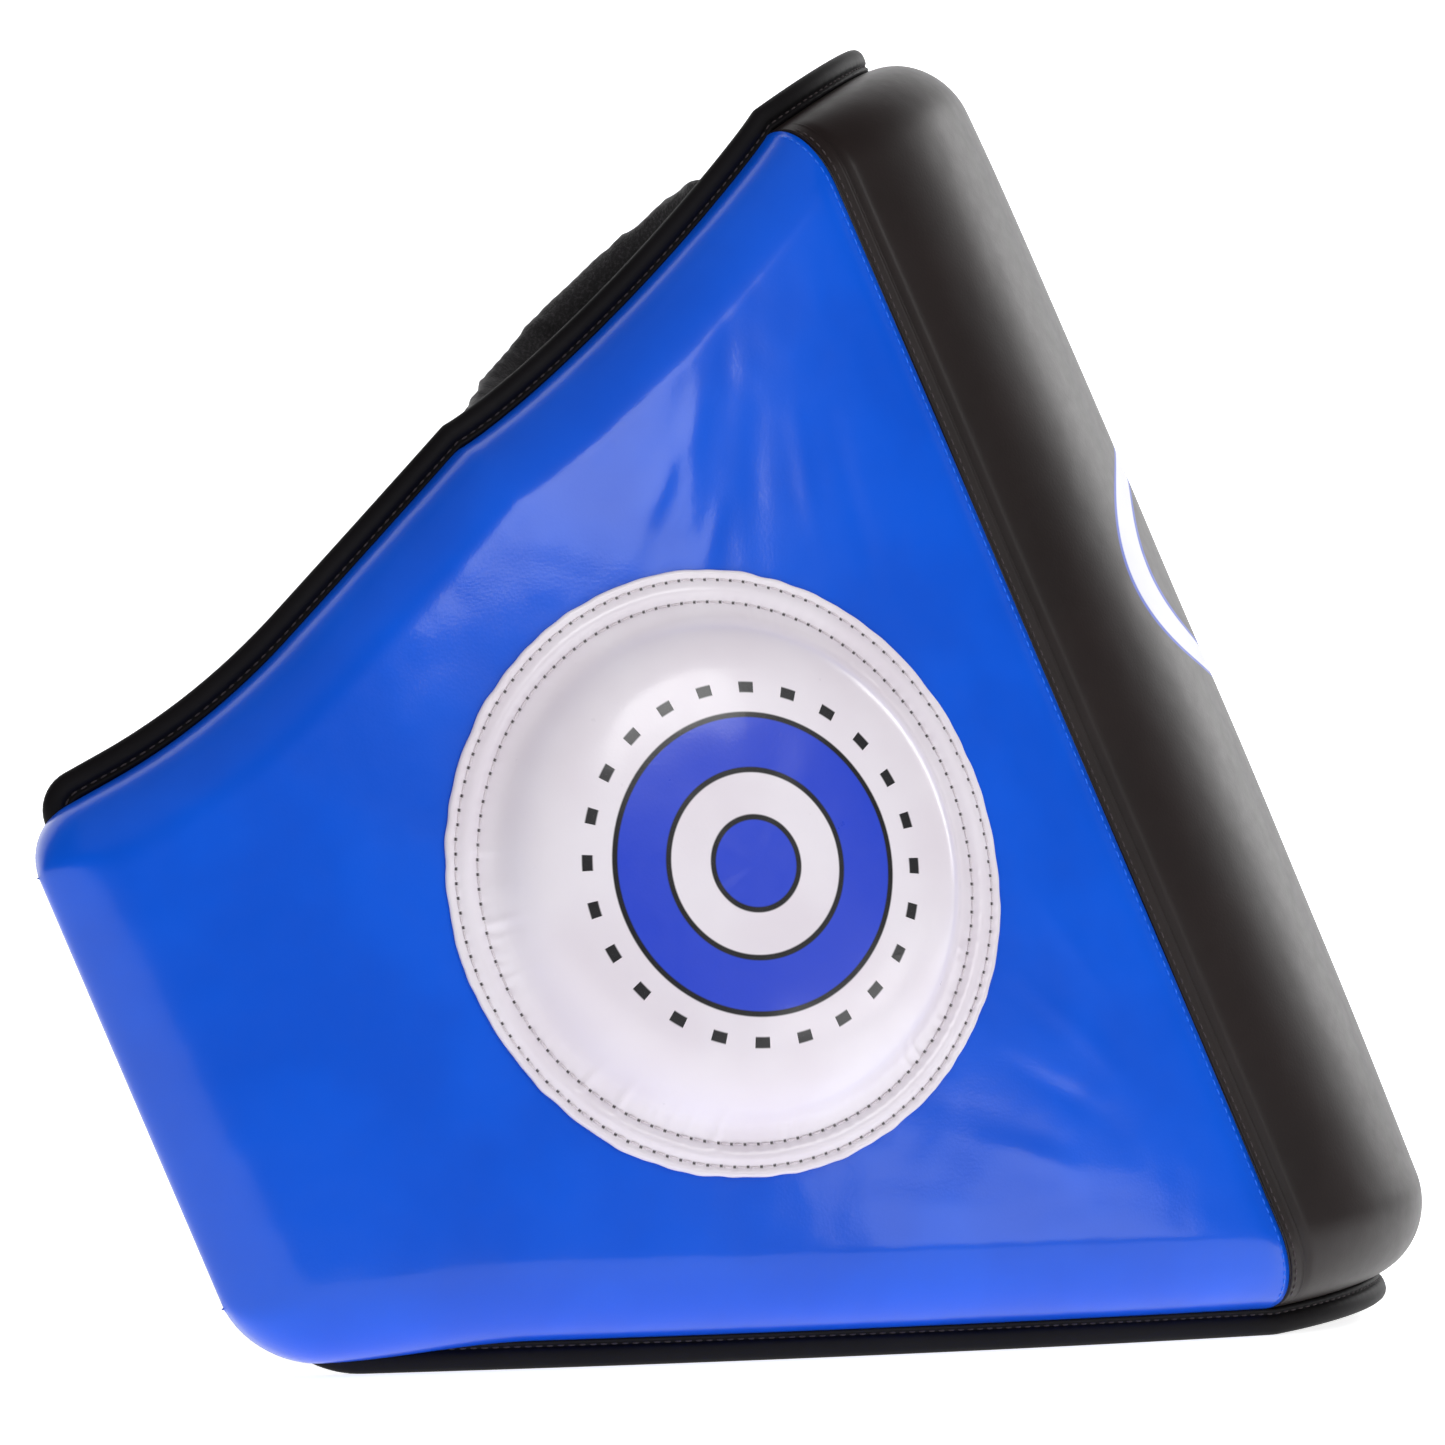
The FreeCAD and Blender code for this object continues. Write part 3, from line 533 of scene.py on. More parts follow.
# %% The side pad's cover
WING_COLUMNS, END_COLUMNS, BACK_COLUMNS, ROWS = 136, 16, 12, 190
UNDER = RIM_END - BIND + 0.0015


def wing_low(s):
    """Lower lip of the cover; near the rear end the full pad hangs in front of the binding."""
    share = min(max((s - 0.33) / 0.09, 0.0), 1.0)
    return floor_line(s) + BIND - 0.007 * share * share * (3 - 2 * share) + corner(s, WING, PAD_LOW_CORNER)


def wing_high(s):
    """Upper lip of the cover."""
    return top_rim(s) - BIND - corner(s, WING, PAD_TOP_CORNER)


def back_depth(s):
    """Depth of the cover's back where it rounds in under the binding."""
    share = min(max((s - UNDER) / (WING - UNDER), 0.0), 1.0)
    return END_DEPTH + (DEPTH - 0.0005 - END_DEPTH) * math.sqrt(1 - share * share)


def wing_column(i):
    """Station, sink of the face and whether the column lies on the back."""
    if i <= WING_COLUMNS:
        return 0.0003 + (WING - EDGE - 0.0003) * i / WING_COLUMNS, 0.0, False
    if i <= WING_COLUMNS + END_COLUMNS:
        turn = (i - WING_COLUMNS) / END_COLUMNS * math.pi / 2
        return WING - EDGE * (1 - math.sin(turn)), END_DEPTH * (1 - math.cos(turn)), False
    turn = (1 - (i - WING_COLUMNS - END_COLUMNS) / BACK_COLUMNS) * math.pi / 2
    return UNDER + (WING - UNDER) * math.sin(turn), 0.0, True


def sunk(depth, sink):
    """The deeper of two depths, with a soft change from one to the other."""
    return (depth ** 8 + sink ** 8) ** 0.125


def wing_skin(i, j):
    s, sink, back = wing_column(i)
    low, high = wing_low(s), wing_high(s)
    depth, z = section_point(j / ROWS, low, high)
    if back:
        return wrap(s, back_depth(s), z)
    deep = back_depth(s) if s > UNDER else DEPTH
    depth = sunk(depth * deep / DEPTH, sink)
    lift = (swell(s, z, low, high) + seam_pull(s)) * (1 - depth / DEPTH) ** 2 * (1 - sink / END_DEPTH)
    return wrap(s, depth - lift, z)


def wing_pattern(i, j):
    s, sink, back = wing_column(i)
    return s + (sink if not back else 0.04), section_point(j / ROWS, wing_low(s), wing_high(s))[1]


outward = (wrap(0.2, 0, 0.3), to_rest.to_3x3() @ plan(0.2)[1])
bm = sheet_grid(WING_COLUMNS + END_COLUMNS + BACK_COLUMNS, ROWS, wing_skin, wing_pattern, closed=True)
right_cover = piece_from(bm, "right_side_cover", blue_vinyl, outward)
modify(right_cover, "SOLIDIFY", thickness=VINYL_WALL, offset=-1.0)
left_cover = mirrored(right_cover, "left_side_cover")
for side, piece in (("right", right_cover), ("left", left_cover)):
    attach(piece, side + "_wing")
    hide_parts(side + "_wing_cover", side + "_wing_impact_foam", side + "_wing_core_foam")
print("side covers, faces each", len(right_cover.data.polygons))


# %% The front pad's cover
FRONT_COLUMNS = 116


def front_place(u, depth, z):
    """As wrap, for the front pad: u runs from the right seam to the left seam through 0."""
    a = u / BEND_RADIUS
    out = Vector((math.sin(a), -math.cos(a), 0))
    spot = Vector((BEND_RADIUS * math.sin(a), BEND_RADIUS * (1 - math.cos(a)), 0))
    return to_rest @ (spot - out * depth + Vector((0, 0, z)))


def front_column(i):
    """Stations closer together beside the seams."""
    t = 2 * i / FRONT_COLUMNS - 1
    return (FRONT_HALF - 0.0003) * math.sin(t * 1.25) / math.sin(1.25)


def front_surface(u, row, lift=0.0):
    s = min(abs(u) - FRONT_HALF, -1e-6)
    low, high = bottom_rim(s) + BIND, top_rim(s) - BIND
    depth, z = section_point(row, low, high)
    lift += (swell(s, z, low, high) + seam_pull(s)) * (1 - depth / DEPTH) ** 2
    return front_place(u, depth - lift, z)


def front_pattern(i, j):
    u = front_column(i)
    s = min(abs(u) - FRONT_HALF, -1e-6)
    return u, section_point(j / ROWS, bottom_rim(s) + BIND, top_rim(s) - BIND)[1]


bm = sheet_grid(FRONT_COLUMNS, ROWS, lambda i, j: front_surface(front_column(i), j / ROWS), front_pattern)
front_cover = piece_from(bm, "front_cover_skin", print_vinyl, (front_place(0, 0, 0.3), Vector((0, -1, 0))))
modify(front_cover, "SOLIDIFY", thickness=VINYL_WALL, offset=-1.0)
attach(front_cover, "front")
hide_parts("front_cover")
print("front cover faces", len(front_cover.data.polygons))

# %% [markdown]
# ## Seam strips and stitches
# Beside each seam a flat black strip is folded over and topstitched. A stitch shows as a short
# thread that dips into the vinyl at both ends, so it is made as a small stretched sphere lying
# on the surface. Hundreds are needed, and each has only a few faces.


# %% Stitch helper
def stitches(name, finish, runs, length, width, body, height=0.5):
    """Small threads along lists of (point, direction, normal)."""
    bm = bmesh.new()
    for run in runs:
        for point, way, out in run:
            across = out.cross(way).normalized()
            turn = Matrix((way.normalized(), across, out.normalized())).transposed().to_4x4()
            size = Matrix.Diagonal((length / 2, width / 2, width * height, 1))
            bmesh.ops.create_uvsphere(bm, u_segments=6, v_segments=4, radius=1.0,
                                      matrix=Matrix.Translation(point) @ turn @ size
                                      @ Matrix.Rotation(math.pi / 2, 4, "Y"))
    piece = piece_from(bm, name, finish)
    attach(piece, body)
    return piece


def row_along(surface, start, end, pitch, sink=0.0):
    """Stitch places on surface(t) -> (point, normal), evenly spaced by distance."""
    samples = [surface(start + (end - start) * k / 400) for k in range(401)]
    run, walked = [], pitch / 2
    for (p0, n0), (p1, n1) in zip(samples, samples[1:]):
        step = (p1 - p0).length
        while walked < step:
            run.append((p0.lerp(p1, walked / step) - n0 * sink, (p1 - p0), n0.lerp(n1, walked / step)))
            walked += pitch
        walked -= step
    return run


def mirror_run(run):
    flip = Vector((-1, 1, 1))
    return [(p * flip, w * flip, n * flip) for p, w, n in run]


# %% The seam
STRIP = 0.0078


def front_normal(u, row):
    e = 1e-3
    du = front_surface(u + e, row) - front_surface(u - e, row)
    dv = front_surface(u, min(row + e, 1)) - front_surface(u, max(row - e, 0))
    return du.cross(dv).normalized()


def strip_lift(across):
    """The strip's section: folded edge at the seam, flat middle, a raised far edge."""
    edge = max(0.0, 1 - abs(across - 0.06) / 0.07)
    ridge = max(0.0, 1 - abs(across - 0.93) / 0.09)
    return 0.0008 + 0.0006 * math.sqrt(edge) + 0.0007 * math.sqrt(ridge) - 0.0006 * (across >= 1 or across <= 0)


def strip_point(i, j):
    across = i / 14
    u = -FRONT_HALF + 0.0004 + across * STRIP
    return front_surface(u, 0.03 + 0.94 * j / 150, strip_lift(across))


bm = sheet_grid(14, 150, strip_point, lambda i, j: (i / 14 * STRIP, j / 150 * 0.6))
middle = front_surface(-FRONT_HALF + 0.004, 0.5), front_normal(-FRONT_HALF + 0.004, 0.5)
right_strip = piece_from(bm, "right_seam_tape", black_vinyl, middle)
modify(right_strip, "SOLIDIFY", thickness=0.0009, offset=-1.0)
left_strip = mirrored(right_strip, "left_seam_tape")
for side, piece in (("right", right_strip), ("left", left_strip)):
    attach(piece, "front")
    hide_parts(side + "_seam_strip")


def strip_line(row):
    u = -FRONT_HALF + 0.0029
    return front_surface(u, row, 0.0009), front_normal(u, row)


def blue_line(row):
    s = 0.0030
    low, high = wing_low(s), wing_high(s)
    depth, z = section_point(row, low, high)
    lift = (swell(s, z, low, high) + seam_pull(s)) * (1 - depth / DEPTH) ** 2
    turn = min(row, 1 - row)
    lean = 0.0 if turn > ARC_END else (ARC_END - turn) / (ARC_END - LIP_END) * math.pi / 2
    up = math.copysign(math.sin(min(lean, math.pi / 2)), row - 0.5)
    way = plan(s)[1] * math.cos(min(lean, math.pi / 2)) + Vector((0, 0, up))
    return wrap(s, depth - lift - 0.0001, z), (to_rest.to_3x3() @ way).normalized()


black_run = row_along(strip_line, 0.05, 0.95, 0.0042)
blue_run = row_along(blue_line, 0.05, 0.95, 0.0042)
for side, flip in (("right", lambda run: run), ("left", mirror_run)):
    stitches(side + "_seam_stitches_black", thread_black, [flip(black_run)], 0.0030, 0.0008,
             "front")
    stitches(side + "_seam_stitches_blue", thread_blue, [flip(blue_run)], 0.0030, 0.0008,
             side + "_wing")
print("seam stitches each side", len(black_run) + len(blue_run))

# %% [markdown]
# ## The bound rim
# A tape of soft vinyl is folded over the raw edges of cover and lining and sewn through. It runs
# round each half in one piece, so the path is drawn on the flat pattern: along the top, round the
# rear corner, down the end, round the lower corner and along the floor line. Its section is a
# rounded strip with a sewn groove. It is baked in place at rest and attached to neither body.


# %% Path of the rim
UPPER_TURN = 0.015


def rim_path():
    """Points (s, z) of the rim from the middle of the top to the middle of the bottom."""
    stations = [-FRONT_HALF + (RIM_END - UPPER_TURN + FRONT_HALF) * k / 240 for k in range(241)]
    path = [(s, top_rim(s)) for s in stations]
    for k in range(1, 9):
        turn = k / 8 * math.pi / 2
        s = RIM_END - UPPER_TURN * (1 - math.sin(turn))
        path.append((s, top_rim(s) - UPPER_TURN * (1 - math.cos(turn))))
    start, end = path[-1][1], floor_line(RIM_END) + BOUND_CORNER
    path += [(RIM_END, start + (end - start) * k / 50) for k in range(1, 51)]
    for k in range(1, 13):
        turn = k / 12 * math.pi / 2
        s = RIM_END - BOUND_CORNER * (1 - math.cos(turn))
        path.append((s, floor_line(s) + BOUND_CORNER * (1 - math.sin(turn))))
    s_last = path[-1][0]
    for k in range(1, 241):
        s = s_last - (s_last + FRONT_HALF) * k / 240
        path.append((s, bottom_rim(s) if s < 0 else floor_line(s)))
    return path


def even(path, count):
    """The path again as evenly spaced points with directions."""
    points = [Vector((s, z)) for s, z in path]
    lengths = [0.0]
    for a, b in zip(points, points[1:]):
        lengths.append(lengths[-1] + (b - a).length)
    result, k = [], 0
    for n in range(count + 1):
        want = lengths[-1] * n / count
        while k < len(points) - 2 and lengths[k + 1] < want:
            k += 1
        share = (want - lengths[k]) / max(lengths[k + 1] - lengths[k], 1e-9)
        result.append(points[k].lerp(points[k + 1], share))
    ways = []
    for n in range(count + 1):
        a, b = result[max(n - 2, 0)], result[min(n + 2, count)]
        ways.append((b - a).normalized())
    ways[0], ways[-1] = Vector((1, 0)), Vector((-1, 0))
    return result, ways, lengths[-1]


RIM_STEPS = 560
rim_points, rim_ways, rim_length = even(rim_path(), RIM_STEPS)


def rim_spot(n, inside, depth):
    """A point of the rim tape: inside is the distance in from the raw edge."""
    n = min(max(n, 0.0), RIM_STEPS)
    k = min(int(n), RIM_STEPS - 1)
    spot = rim_points[k].lerp(rim_points[k + 1], n - k)
    way = rim_ways[k].lerp(rim_ways[k + 1], n - k).normalized()
    inward = Vector((way.y, -way.x))
    return wrap(max(spot.x + inward.x * inside, -FRONT_HALF), depth, spot.y + inward.y * inside)


# section of the tape: (distance in from the edge, height over the pad's edge line), outer side first
TAPE = [(0.0123, -0.0006), (0.0119, 0.0010), (0.0111, 0.0019), (0.0101, 0.0021), (0.0094, 0.0015),
        (0.0089, 0.0009), (0.0084, 0.0013), (0.0076, 0.0021), (0.0062, 0.0025), (0.0044, 0.0025),
        (0.0028, 0.0022), (0.0014, 0.0014), (0.0005, 0.0003), (0.0001, -0.0010), (0.0003, -0.0024),
        (0.0012, -0.0034), (0.0028, -0.0038), (0.0050, -0.0039), (0.0075, -0.0037), (0.0092, -0.0032),
        (0.0100, -0.0035), (0.0112, -0.0036), (0.0121, -0.0028)]
TAPE_FACE = DEPTH - 0.0012


def tape_point(i, j):
    inside, height = TAPE[j % len(TAPE)]
    pucker = 0.0
    if 0.007 < inside < 0.011:
        pucker = 0.00018 * math.sin(i * rim_length / RIM_STEPS / 0.0042 * 2 * math.pi)
    return rim_spot(i, inside, TAPE_FACE + 0.0006 - height + pucker)


def across_seam(piece, node_names):
    """Bakes the piece in place at rest and hides the CAD nodes it stands for; it is attached to no body."""
    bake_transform(piece)
    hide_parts(*node_names)


bm = sheet_grid(RIM_STEPS, len(TAPE), tape_point, lambda i, j: (i * rim_length / RIM_STEPS, j * 0.0015), True)
edges = [e for e in bm.edges if e.is_boundary]
bmesh.ops.holes_fill(bm, edges=edges, sides=0)
look = rim_spot(100, 0.005, TAPE_FACE - 0.002), to_rest.to_3x3() @ plan(0.0)[1]
right_tape = piece_from(bm, "right_rim_binding", binding_vinyl, look)
left_tape = mirrored(right_tape, "left_rim_binding")
for side, piece in (("right", right_tape), ("left", left_tape)):
    across_seam(piece, ["front_top_binding", "front_bottom_binding", side + "_wing_binding"])
print("rim length of a half", round(rim_length, 3))


# %% Stitches in the tape's groove
def groove(t):
    """Point and normal of the sewn groove at a share of the rim."""
    n = t * RIM_STEPS
    point = rim_spot(n, 0.0090, TAPE_FACE - 0.0006)
    out = plan(rim_points[min(int(n), RIM_STEPS)].x)[1]
    return point, to_rest.to_3x3() @ out


rim_run = row_along(groove, 0.002, 0.998, 0.0046)
for side, flip in (("right", lambda run: run), ("left", mirror_run)):
    piece = stitches(side + "_rim_stitches", thread_black, [flip(rim_run)], 0.0030, 0.0008,
                     "front")
    matrix = piece.matrix_world.copy()
    piece.parent = None
    piece.matrix_world = matrix
    across_seam(piece, [])
print("rim stitches each half", len(rim_run))

# %% [markdown]
# ## The lining
# The inside of the shield is a black textured cloth, stretched flat over the back of the foam.
# Each half is one sheet from the middle of the front to the rear end, baked in place at rest and attached to no
# body.

# %% Lining sheets
LINING_COLUMNS, LINING_ROWS = 150, 90


def lining_station(i):
    return -FRONT_HALF + (FRONT_HALF + RIM_END - BIND - 0.0003) * i / LINING_COLUMNS


def lining_height(i, j):
    s = lining_station(i)
    low = bottom_rim(s) + BIND + 0.0003
    return low + (top_rim(s) - BIND - 0.0003 - low) * j / LINING_ROWS


def lining_point(i, j):
    s, z = lining_station(i), lining_height(i, j)
    quilt = 0.0004 * noise.noise(Vector((s * 30, z * 30, 7)))
    return wrap(s, DEPTH + LINING - 0.0004 + quilt, z)


bm = sheet_grid(LINING_COLUMNS, LINING_ROWS, lining_point,
                lambda i, j: (lining_station(i), lining_height(i, j)))
look = wrap(0.2, DEPTH, 0.3), to_rest.to_3x3() @ -plan(0.2)[1]
right_lining = piece_from(bm, "right_lining", lining_cloth, look)
modify(right_lining, "SOLIDIFY", thickness=0.0012, offset=-1.0)
left_lining = mirrored(right_lining, "left_lining")
for side, piece in (("right", right_lining), ("left", left_lining)):
    across_seam(piece, ["front_lining", side + "_wing_lining"])

# %% [markdown]
# ## The round target
# The target is a thick disc of foam under white vinyl, held by a flat flange with two rows of
# stitches. The outer row runs near the cut edge and the inner row pulls the skin down at the
# foot of the dome. Its profile is spun once round and then bent onto the side pad. Small
# puckers between the needle holes and an uneven cut edge show that it was sewn by hand.

# %% Target profile, spun
TARGET_S, TARGET_Z = 0.1826, 0.322
PROFILE = [(0.0, 0.0232), (0.012, 0.0232), (0.024, 0.0231), (0.036, 0.0229), (0.048, 0.0226), (0.058, 0.0222),
           (0.067, 0.0217), (0.0745, 0.0211), (0.080, 0.0204), (0.0845, 0.0196), (0.0885, 0.0184),
           (0.0918, 0.0170), (0.0948, 0.0151), (0.0974, 0.0130), (0.0995, 0.0108), (0.1013, 0.0085),
           (0.1029, 0.0064), (0.1044, 0.0048), (0.1060, 0.0036), (0.1078, 0.0028), (0.1094, 0.0023),
           (0.1104, 0.0020), (0.1112, 0.0019), (0.1120, 0.0022), (0.1133, 0.0028), (0.1150, 0.0033),
           (0.1170, 0.0034), (0.1186, 0.0030), (0.1198, 0.0024), (0.1206, 0.0022), (0.1214, 0.0024),
           (0.1226, 0.0029), (0.1238, 0.0030), (0.1246, 0.0026), (0.1250, 0.0018), (0.1248, 0.0008),
           (0.1235, 0.0002), (0.1150, 0.0001), (0.1000, 0.0001), (0.0500, 0.0001), (0.0, 0.0001)]
SPIN_STEPS = 532


def target_relief(r, angle, height):
    """Puckers at the needle holes, tucks low at the rear, an uneven edge."""
    def holes(at, width):
        phase = math.cos(angle * round(2 * math.pi * at / STITCH_PITCH))
        return (0.5 + 0.5 * phase) ** 2 * math.exp(-((r - at) / width) ** 2)

    lump = noise.noise(Vector((math.cos(angle) * 9, math.sin(angle) * 9, r * 60)))
    fold = max(0.0, noise.noise(Vector((math.cos(angle) * 26, math.sin(angle) * 26, 4.0)))) ** 1.5
    low_rear = max(0.0, math.cos(angle - math.radians(232)))
    ring = math.exp(-((r - 0.107) / 0.006) ** 2)
    change = -0.0007 * holes(STITCH_ROWS[0], 0.0016) - 0.0006 * holes(STITCH_ROWS[1], 0.0013)
    change += ring * (0.0007 * fold + 0.0022 * low_rear * fold) + 0.0004 * lump * ring
    change += 0.0003 * noise.noise(Vector((r * 40, math.cos(angle) * 2, math.sin(angle) * 2)))
    return max(height + change * min(1.0, height / 0.0012), 0.0)


def target_edge(r, angle):
    """The cut edge wanders a little."""
    if r < 0.115:
        return r
    share = (r - 0.115) / 0.010
    wobble = 0.0007 * noise.noise(Vector((math.cos(angle) * 14, math.sin(angle) * 14, 2.0)))
    wobble += 0.0010 * noise.noise(Vector((math.cos(angle) * 2.2, math.sin(angle) * 2.2, 9.0)))
    return r + share * (wobble - 0.0003)


def target_place(r, angle, height):
    return wrap(TARGET_S - r * math.cos(angle), -height, TARGET_Z + r * math.sin(angle))


bm = bmesh.new()
chain = [bm.verts.new((r, 0, h)) for r, h in PROFILE]
links = [bm.edges.new(pair) for pair in zip(chain, chain[1:])]
bmesh.ops.spin(bm, geom=chain + links, cent=(0, 0, 0), axis=(0, 0, 1), angle=2 * math.pi, steps=SPIN_STEPS,
               use_merge=True)
bmesh.ops.remove_doubles(bm, verts=bm.verts, dist=2e-6)
uv = bm.loops.layers.uv.new("pattern")
for face in bm.faces:
    for loop in face.loops:
        loop[uv].uv = (-loop.vert.co.x, loop.vert.co.y)
for v in bm.verts:
    r, angle = math.hypot(v.co.x, v.co.y), math.atan2(v.co.y, v.co.x)
    lift = swell(TARGET_S - r * math.cos(angle), TARGET_Z + r * math.sin(angle), 0.08, 0.52) * 0.8
    v.co = target_place(target_edge(r, angle), angle, target_relief(r, angle, v.co.z) + lift)
right_target = piece_from(bm, "right_target_skin", white_vinyl, outward)
left_target = mirrored(right_target, "left_target_skin")
for side, piece in (("right", right_target), ("left", left_target)):
    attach(piece, side + "_wing")
    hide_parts(side + "_target_cover")
print("target faces", len(right_target.data.polygons))


# %% Target stitches
def target_row(radius, height):
    """Stitch places of one row round the target."""
    count = round(2 * math.pi * radius / STITCH_PITCH)
    run = []
    for k in range(count):
        angle = (k + 0.5) / count * 2 * math.pi
        lift = swell(TARGET_S - radius * math.cos(angle), TARGET_Z + radius * math.sin(angle), 0.08, 0.52) * 0.8
        spot = target_place(radius, angle, height + lift)
        ahead = target_place(radius, angle + 0.01, height + lift)
        run.append((spot, ahead - spot, to_rest.to_3x3() @ plan(TARGET_S - radius * math.cos(angle))[1]))
    return run


target_runs = [target_row(STITCH_ROWS[0], 0.0021), target_row(STITCH_ROWS[1], 0.0023)]
for side in ("right", "left"):
    runs = target_runs if side == "right" else [mirror_run(run) for run in target_runs]
    stitches(side + "_target_stitches", thread_white, runs, 0.0044, 0.0011, side + "_wing")
print("target stitches each", sum(len(run) for run in target_runs))

# %% [markdown]
# ## Cuffs and grips
# A cuff is loop fabric over soft foam. The CAD solid is copied, remeshed into even small faces
# and blown up a little by a cloth simulation, which rounds its edges as stuffing does. The grip
# sleeve is treated in the same way. The simulation runs once, and the left pieces are mirrored.


# %% Soft copies of CAD solids
def node_copy(node, name, finish):
    """A merged copy of a CAD node's mesh."""
    bm = bmesh.new()
    bm.from_mesh(frame["nodes"][node].data)
    bmesh.ops.remove_doubles(bm, verts=bm.verts, dist=1e-6)
    for face in bm.faces:
        face.smooth = True
    mesh = bpy.data.meshes.new(name)
    bm.to_mesh(mesh)
    bm.free()
    mesh.materials.clear()
    mesh.materials.append(finish)
    piece = bpy.data.objects.new(name, mesh)
    bpy.context.collection.objects.link(piece)
    return piece


def stuffed(piece, voxel, cap, pressure, soften=10):
    """Remeshes, inflates with cloth pressure up to a cap, and smooths."""
    modify(piece, "REMESH", mode="VOXEL", voxel_size=voxel)
    modify(piece, "SMOOTH", factor=0.5, iterations=soften)
    before = [v.co.copy() for v in piece.data.vertices]
    scene = bpy.context.scene
    cloth_modifier = piece.modifiers.new("Cloth", "CLOTH")
    cloth_modifier.settings.use_pressure = True
    cloth_modifier.settings.uniform_pressure_force = pressure
    cloth_modifier.settings.effector_weights.gravity = 0.0
    for number in range(1, 21):
        scene.frame_set(number)
    depsgraph = bpy.context.evaluated_depsgraph_get()
    result = bpy.data.meshes.new_from_object(piece.evaluated_get(depsgraph), depsgraph=depsgraph)
    piece.modifiers.clear()
    for v, start in zip(result.vertices, before):
        move = v.co - start
        if move.length > cap:
            v.co = start + move * (cap / move.length)
    piece.data = result
    scene.frame_set(1)
    modify(piece, "SUBSURF", levels=1, render_levels=1)
    for face in piece.data.polygons:
        face.use_smooth = True
    return piece


soft_pieces = [("cuff_pad", "forearm_cuff", loop_cloth, "loop_fabric", 0.0042, 0.0016),
               ("grip_sleeve", "grip_sleeve_skin", grip_vinyl, "grip_vinyl", 0.0030, 0.0006)]
for node, name, finish, slot_name, voxel, cap in soft_pieces:
    right = stuffed(node_copy("right_" + node, "right_" + name, finish), voxel, cap, 4.0)
    left = mirrored(right, "left_" + name)
    for side, piece in (("right", right), ("left", left)):
        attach(piece, side + "_wing")
        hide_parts(side + "_" + node)
    print(name, "faces", len(right.data.polygons))

# %% [markdown]
# Straps, tabs and patches are thin, and a remesh would eat them. They keep the CAD shape, and a
# small bevel rounds their cut edges.

# %% Straps, webbing and patches
strap_pieces = [("cuff_strap", "cuff_strap_band", strap_cloth, "hook_and_loop", "_wing"),
                ("cuff_tail", "cuff_strap_tail", strap_cloth, "hook_and_loop", "_strap_tail"),
                ("cuff_ring_tab", "ring_tab_band", web_cloth, "webbing", "_wing"),
                ("grip_web", "grip_webbing", web_cloth, "webbing", "_wing"),
                ("grip_patches", "grip_patch_pair", black_vinyl, "black_vinyl", "_wing")]
for node, name, finish, slot_name, body in strap_pieces:
    right = node_copy("right_" + node, "right_" + name, finish)
    modify(right, "BEVEL", width=0.0006, segments=2, limit_method="ANGLE", angle_limit=math.radians(40))
    left = mirrored(right, "left_" + name)
    for side, piece in (("right", right), ("left", left)):
        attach(piece, side + body)
        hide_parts(side + "_" + node)
print("straps made", len(strap_pieces) * 2)

# %% Finishes of the CAD nodes that stay
kept = {"impact_foam": dense_foam, "core_foam": soft_foam, "target_foam": soft_foam,
        "backing_sheet": stiff_foam, "cuff_ring": ring_steel}
for node, piece in frame["nodes"].items():
    for ending, finish in kept.items():
        if node.endswith(ending):
            piece.data.materials.clear()
            piece.data.materials.append(finish)
print("foams and rings finished")

# %% [markdown]
# ## Studio
# The shield stands on a pale floor that curves up into a glowing backdrop, which also lights the
# far edges. A key soft box gives the pale patch on the blue skin above the target, and a low one
# gives the patch below it. The wide top light shapes the pad but shows in no reflection, so the
# rounded edges keep their full colour.


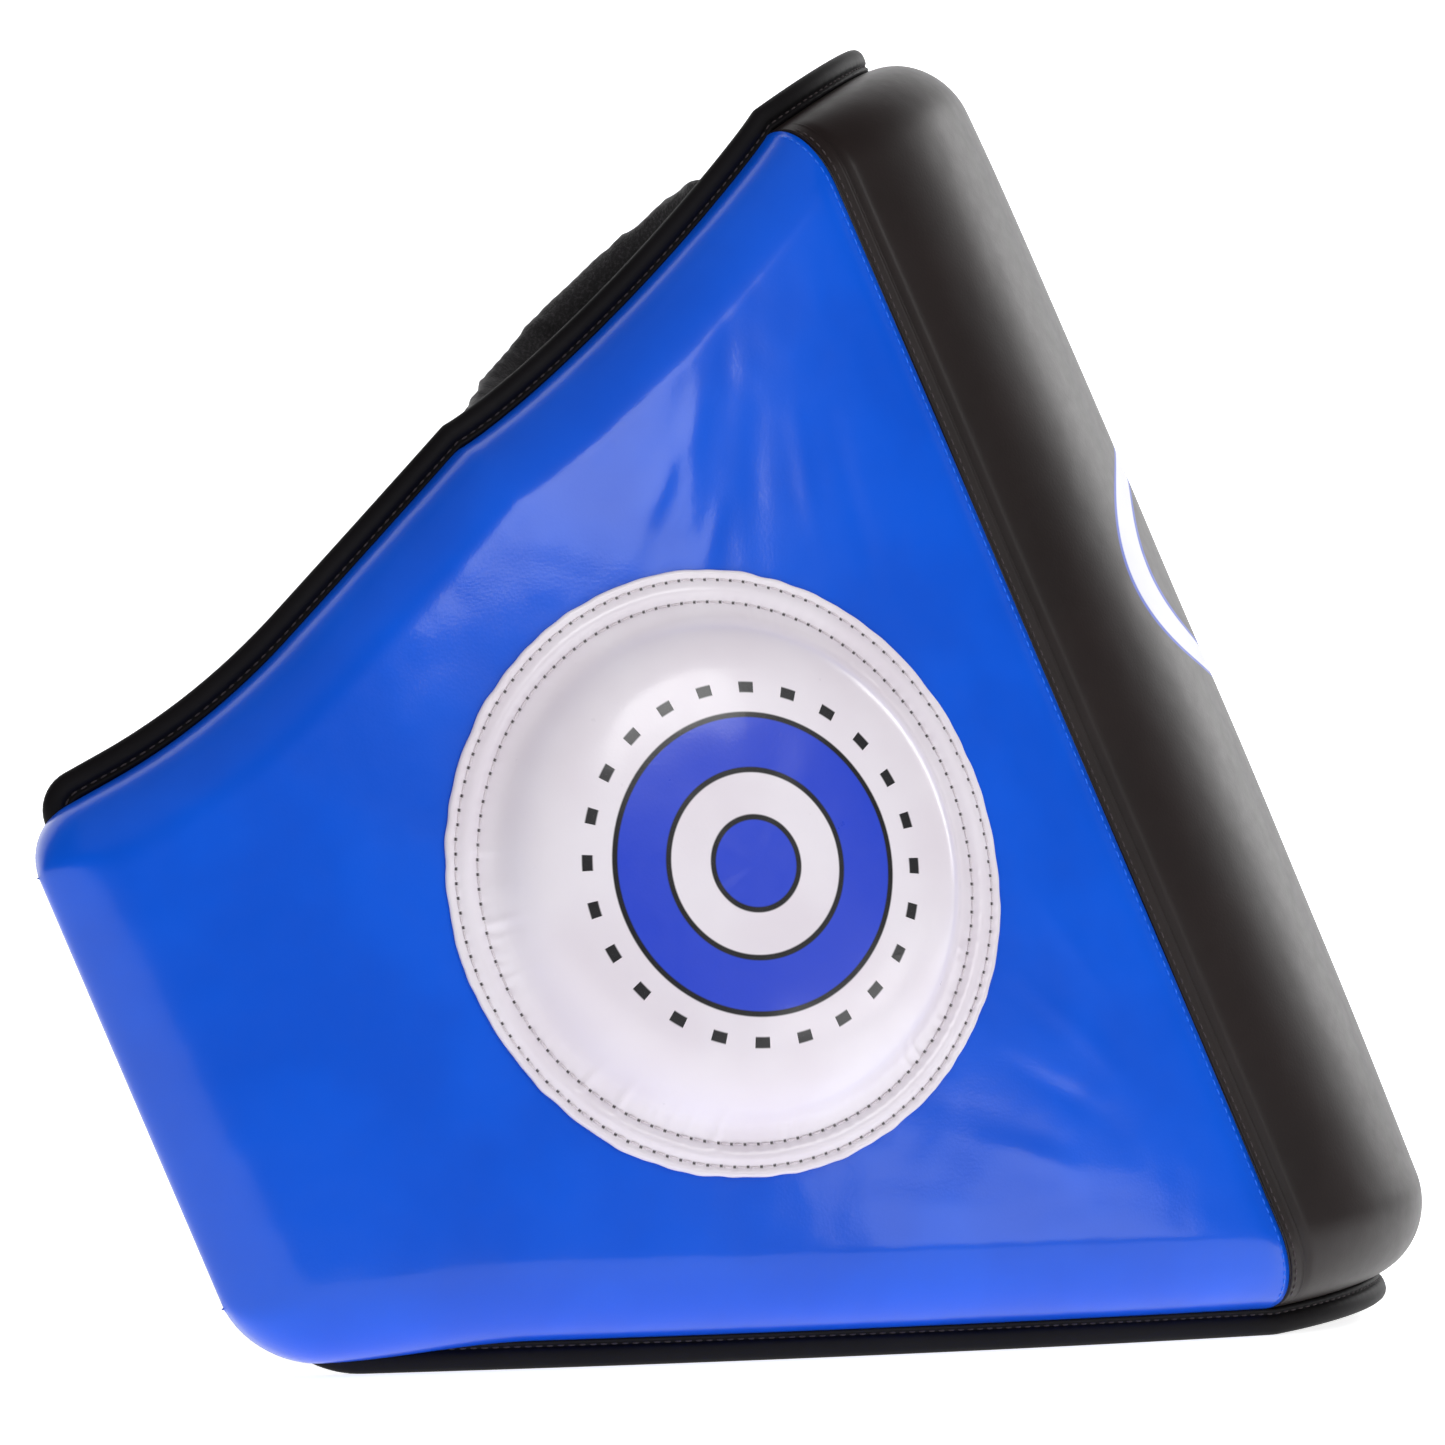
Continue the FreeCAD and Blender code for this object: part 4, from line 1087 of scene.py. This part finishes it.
# %% Floor, lights and camera
def sweep():
    """Floor and backdrop in one curved sheet."""
    bm = bmesh.new()
    profile = [(-6.0, 0.0), (2.2, 0.0)]
    profile += [(2.2 + 1.2 * math.sin(a), 1.2 - 1.2 * math.cos(a)) for a in
                [math.pi / 2 * k / 16 for k in range(1, 17)]]
    profile += [(3.4, 6.0)]
    chain = [bm.verts.new((x, -7.0, z)) for x, z in profile]
    links = [bm.edges.new(pair) for pair in zip(chain, chain[1:])]
    made = bmesh.ops.extrude_edge_only(bm, edges=links)["geom"]
    bmesh.ops.translate(bm, vec=(0, 14.0, 0), verts=[g for g in made if isinstance(g, bmesh.types.BMVert)])
    return bm


paper, tree, shader = new_finish("paper_backdrop_matt_white", Roughness=0.9, Emission_Strength=0.8)
shader.inputs["Base Color"].default_value = colour("#F6F6F7")
shader.inputs["Emission Color"].default_value = colour("#FFFFFF")
backdrop = piece_from(sweep(), "studio_backdrop", paper, (Vector((0, 0, 0)), Vector((0, 0, 1))))

world = bpy.data.worlds.new("studio_surround")
bpy.context.scene.world = world
world.use_nodes = True
world.node_tree.nodes["Background"].inputs[0].default_value = colour("#F4F5F8")
world.node_tree.nodes["Background"].inputs[1].default_value = 0.10


def soft_box(name, centre, aim, width, height, watts, tint="#FFFFFF"):
    lamp = bpy.data.lights.new(name, "AREA")
    lamp.shape, lamp.size, lamp.size_y, lamp.energy = "RECTANGLE", width, height, watts
    lamp.color = colour(tint)[:3]
    box = bpy.data.objects.new(name, lamp)
    bpy.context.collection.objects.link(box)
    box.location = centre
    box.rotation_euler = (Vector(aim) - Vector(centre)).to_track_quat("-Z", "Y").to_euler()
    return box


soft_box("key_soft_box", (-1.75, -1.35, 1.4), (-0.2, -0.1, 0.4), 0.8, 0.6, 9.5)
soft_box("low_soft_box", (-1.40, -1.80, 0.36), (-0.2, -0.1, 0.15), 0.75, 0.26, 2.6)
top_box = soft_box("top_soft_box", (-1.0, 0.0, 3.0), (0, 0, 0.2), 3.2, 3.2, 56)
top_box.visible_glossy = False
soft_box("rim_soft_box", (1.6, -2.2, 1.3), (0, -0.2, 0.3), 1.0, 1.6, 18)

camera_data = bpy.data.cameras.new("camera")
camera_data.lens, camera_data.sensor_width = 145.5, 36.0
camera = bpy.data.objects.new("camera", camera_data)
bpy.context.collection.objects.link(camera)
camera.location = (-2.590, 0.2294, 0.2188)
camera.rotation_euler = (Vector((0, 0.0067, 0.264)) - camera.location).to_track_quat("-Z", "Y").to_euler()
bpy.context.scene.camera = camera
bpy.context.scene.view_settings.view_transform = "Standard"
print("camera distance", round(camera.location.length, 2))
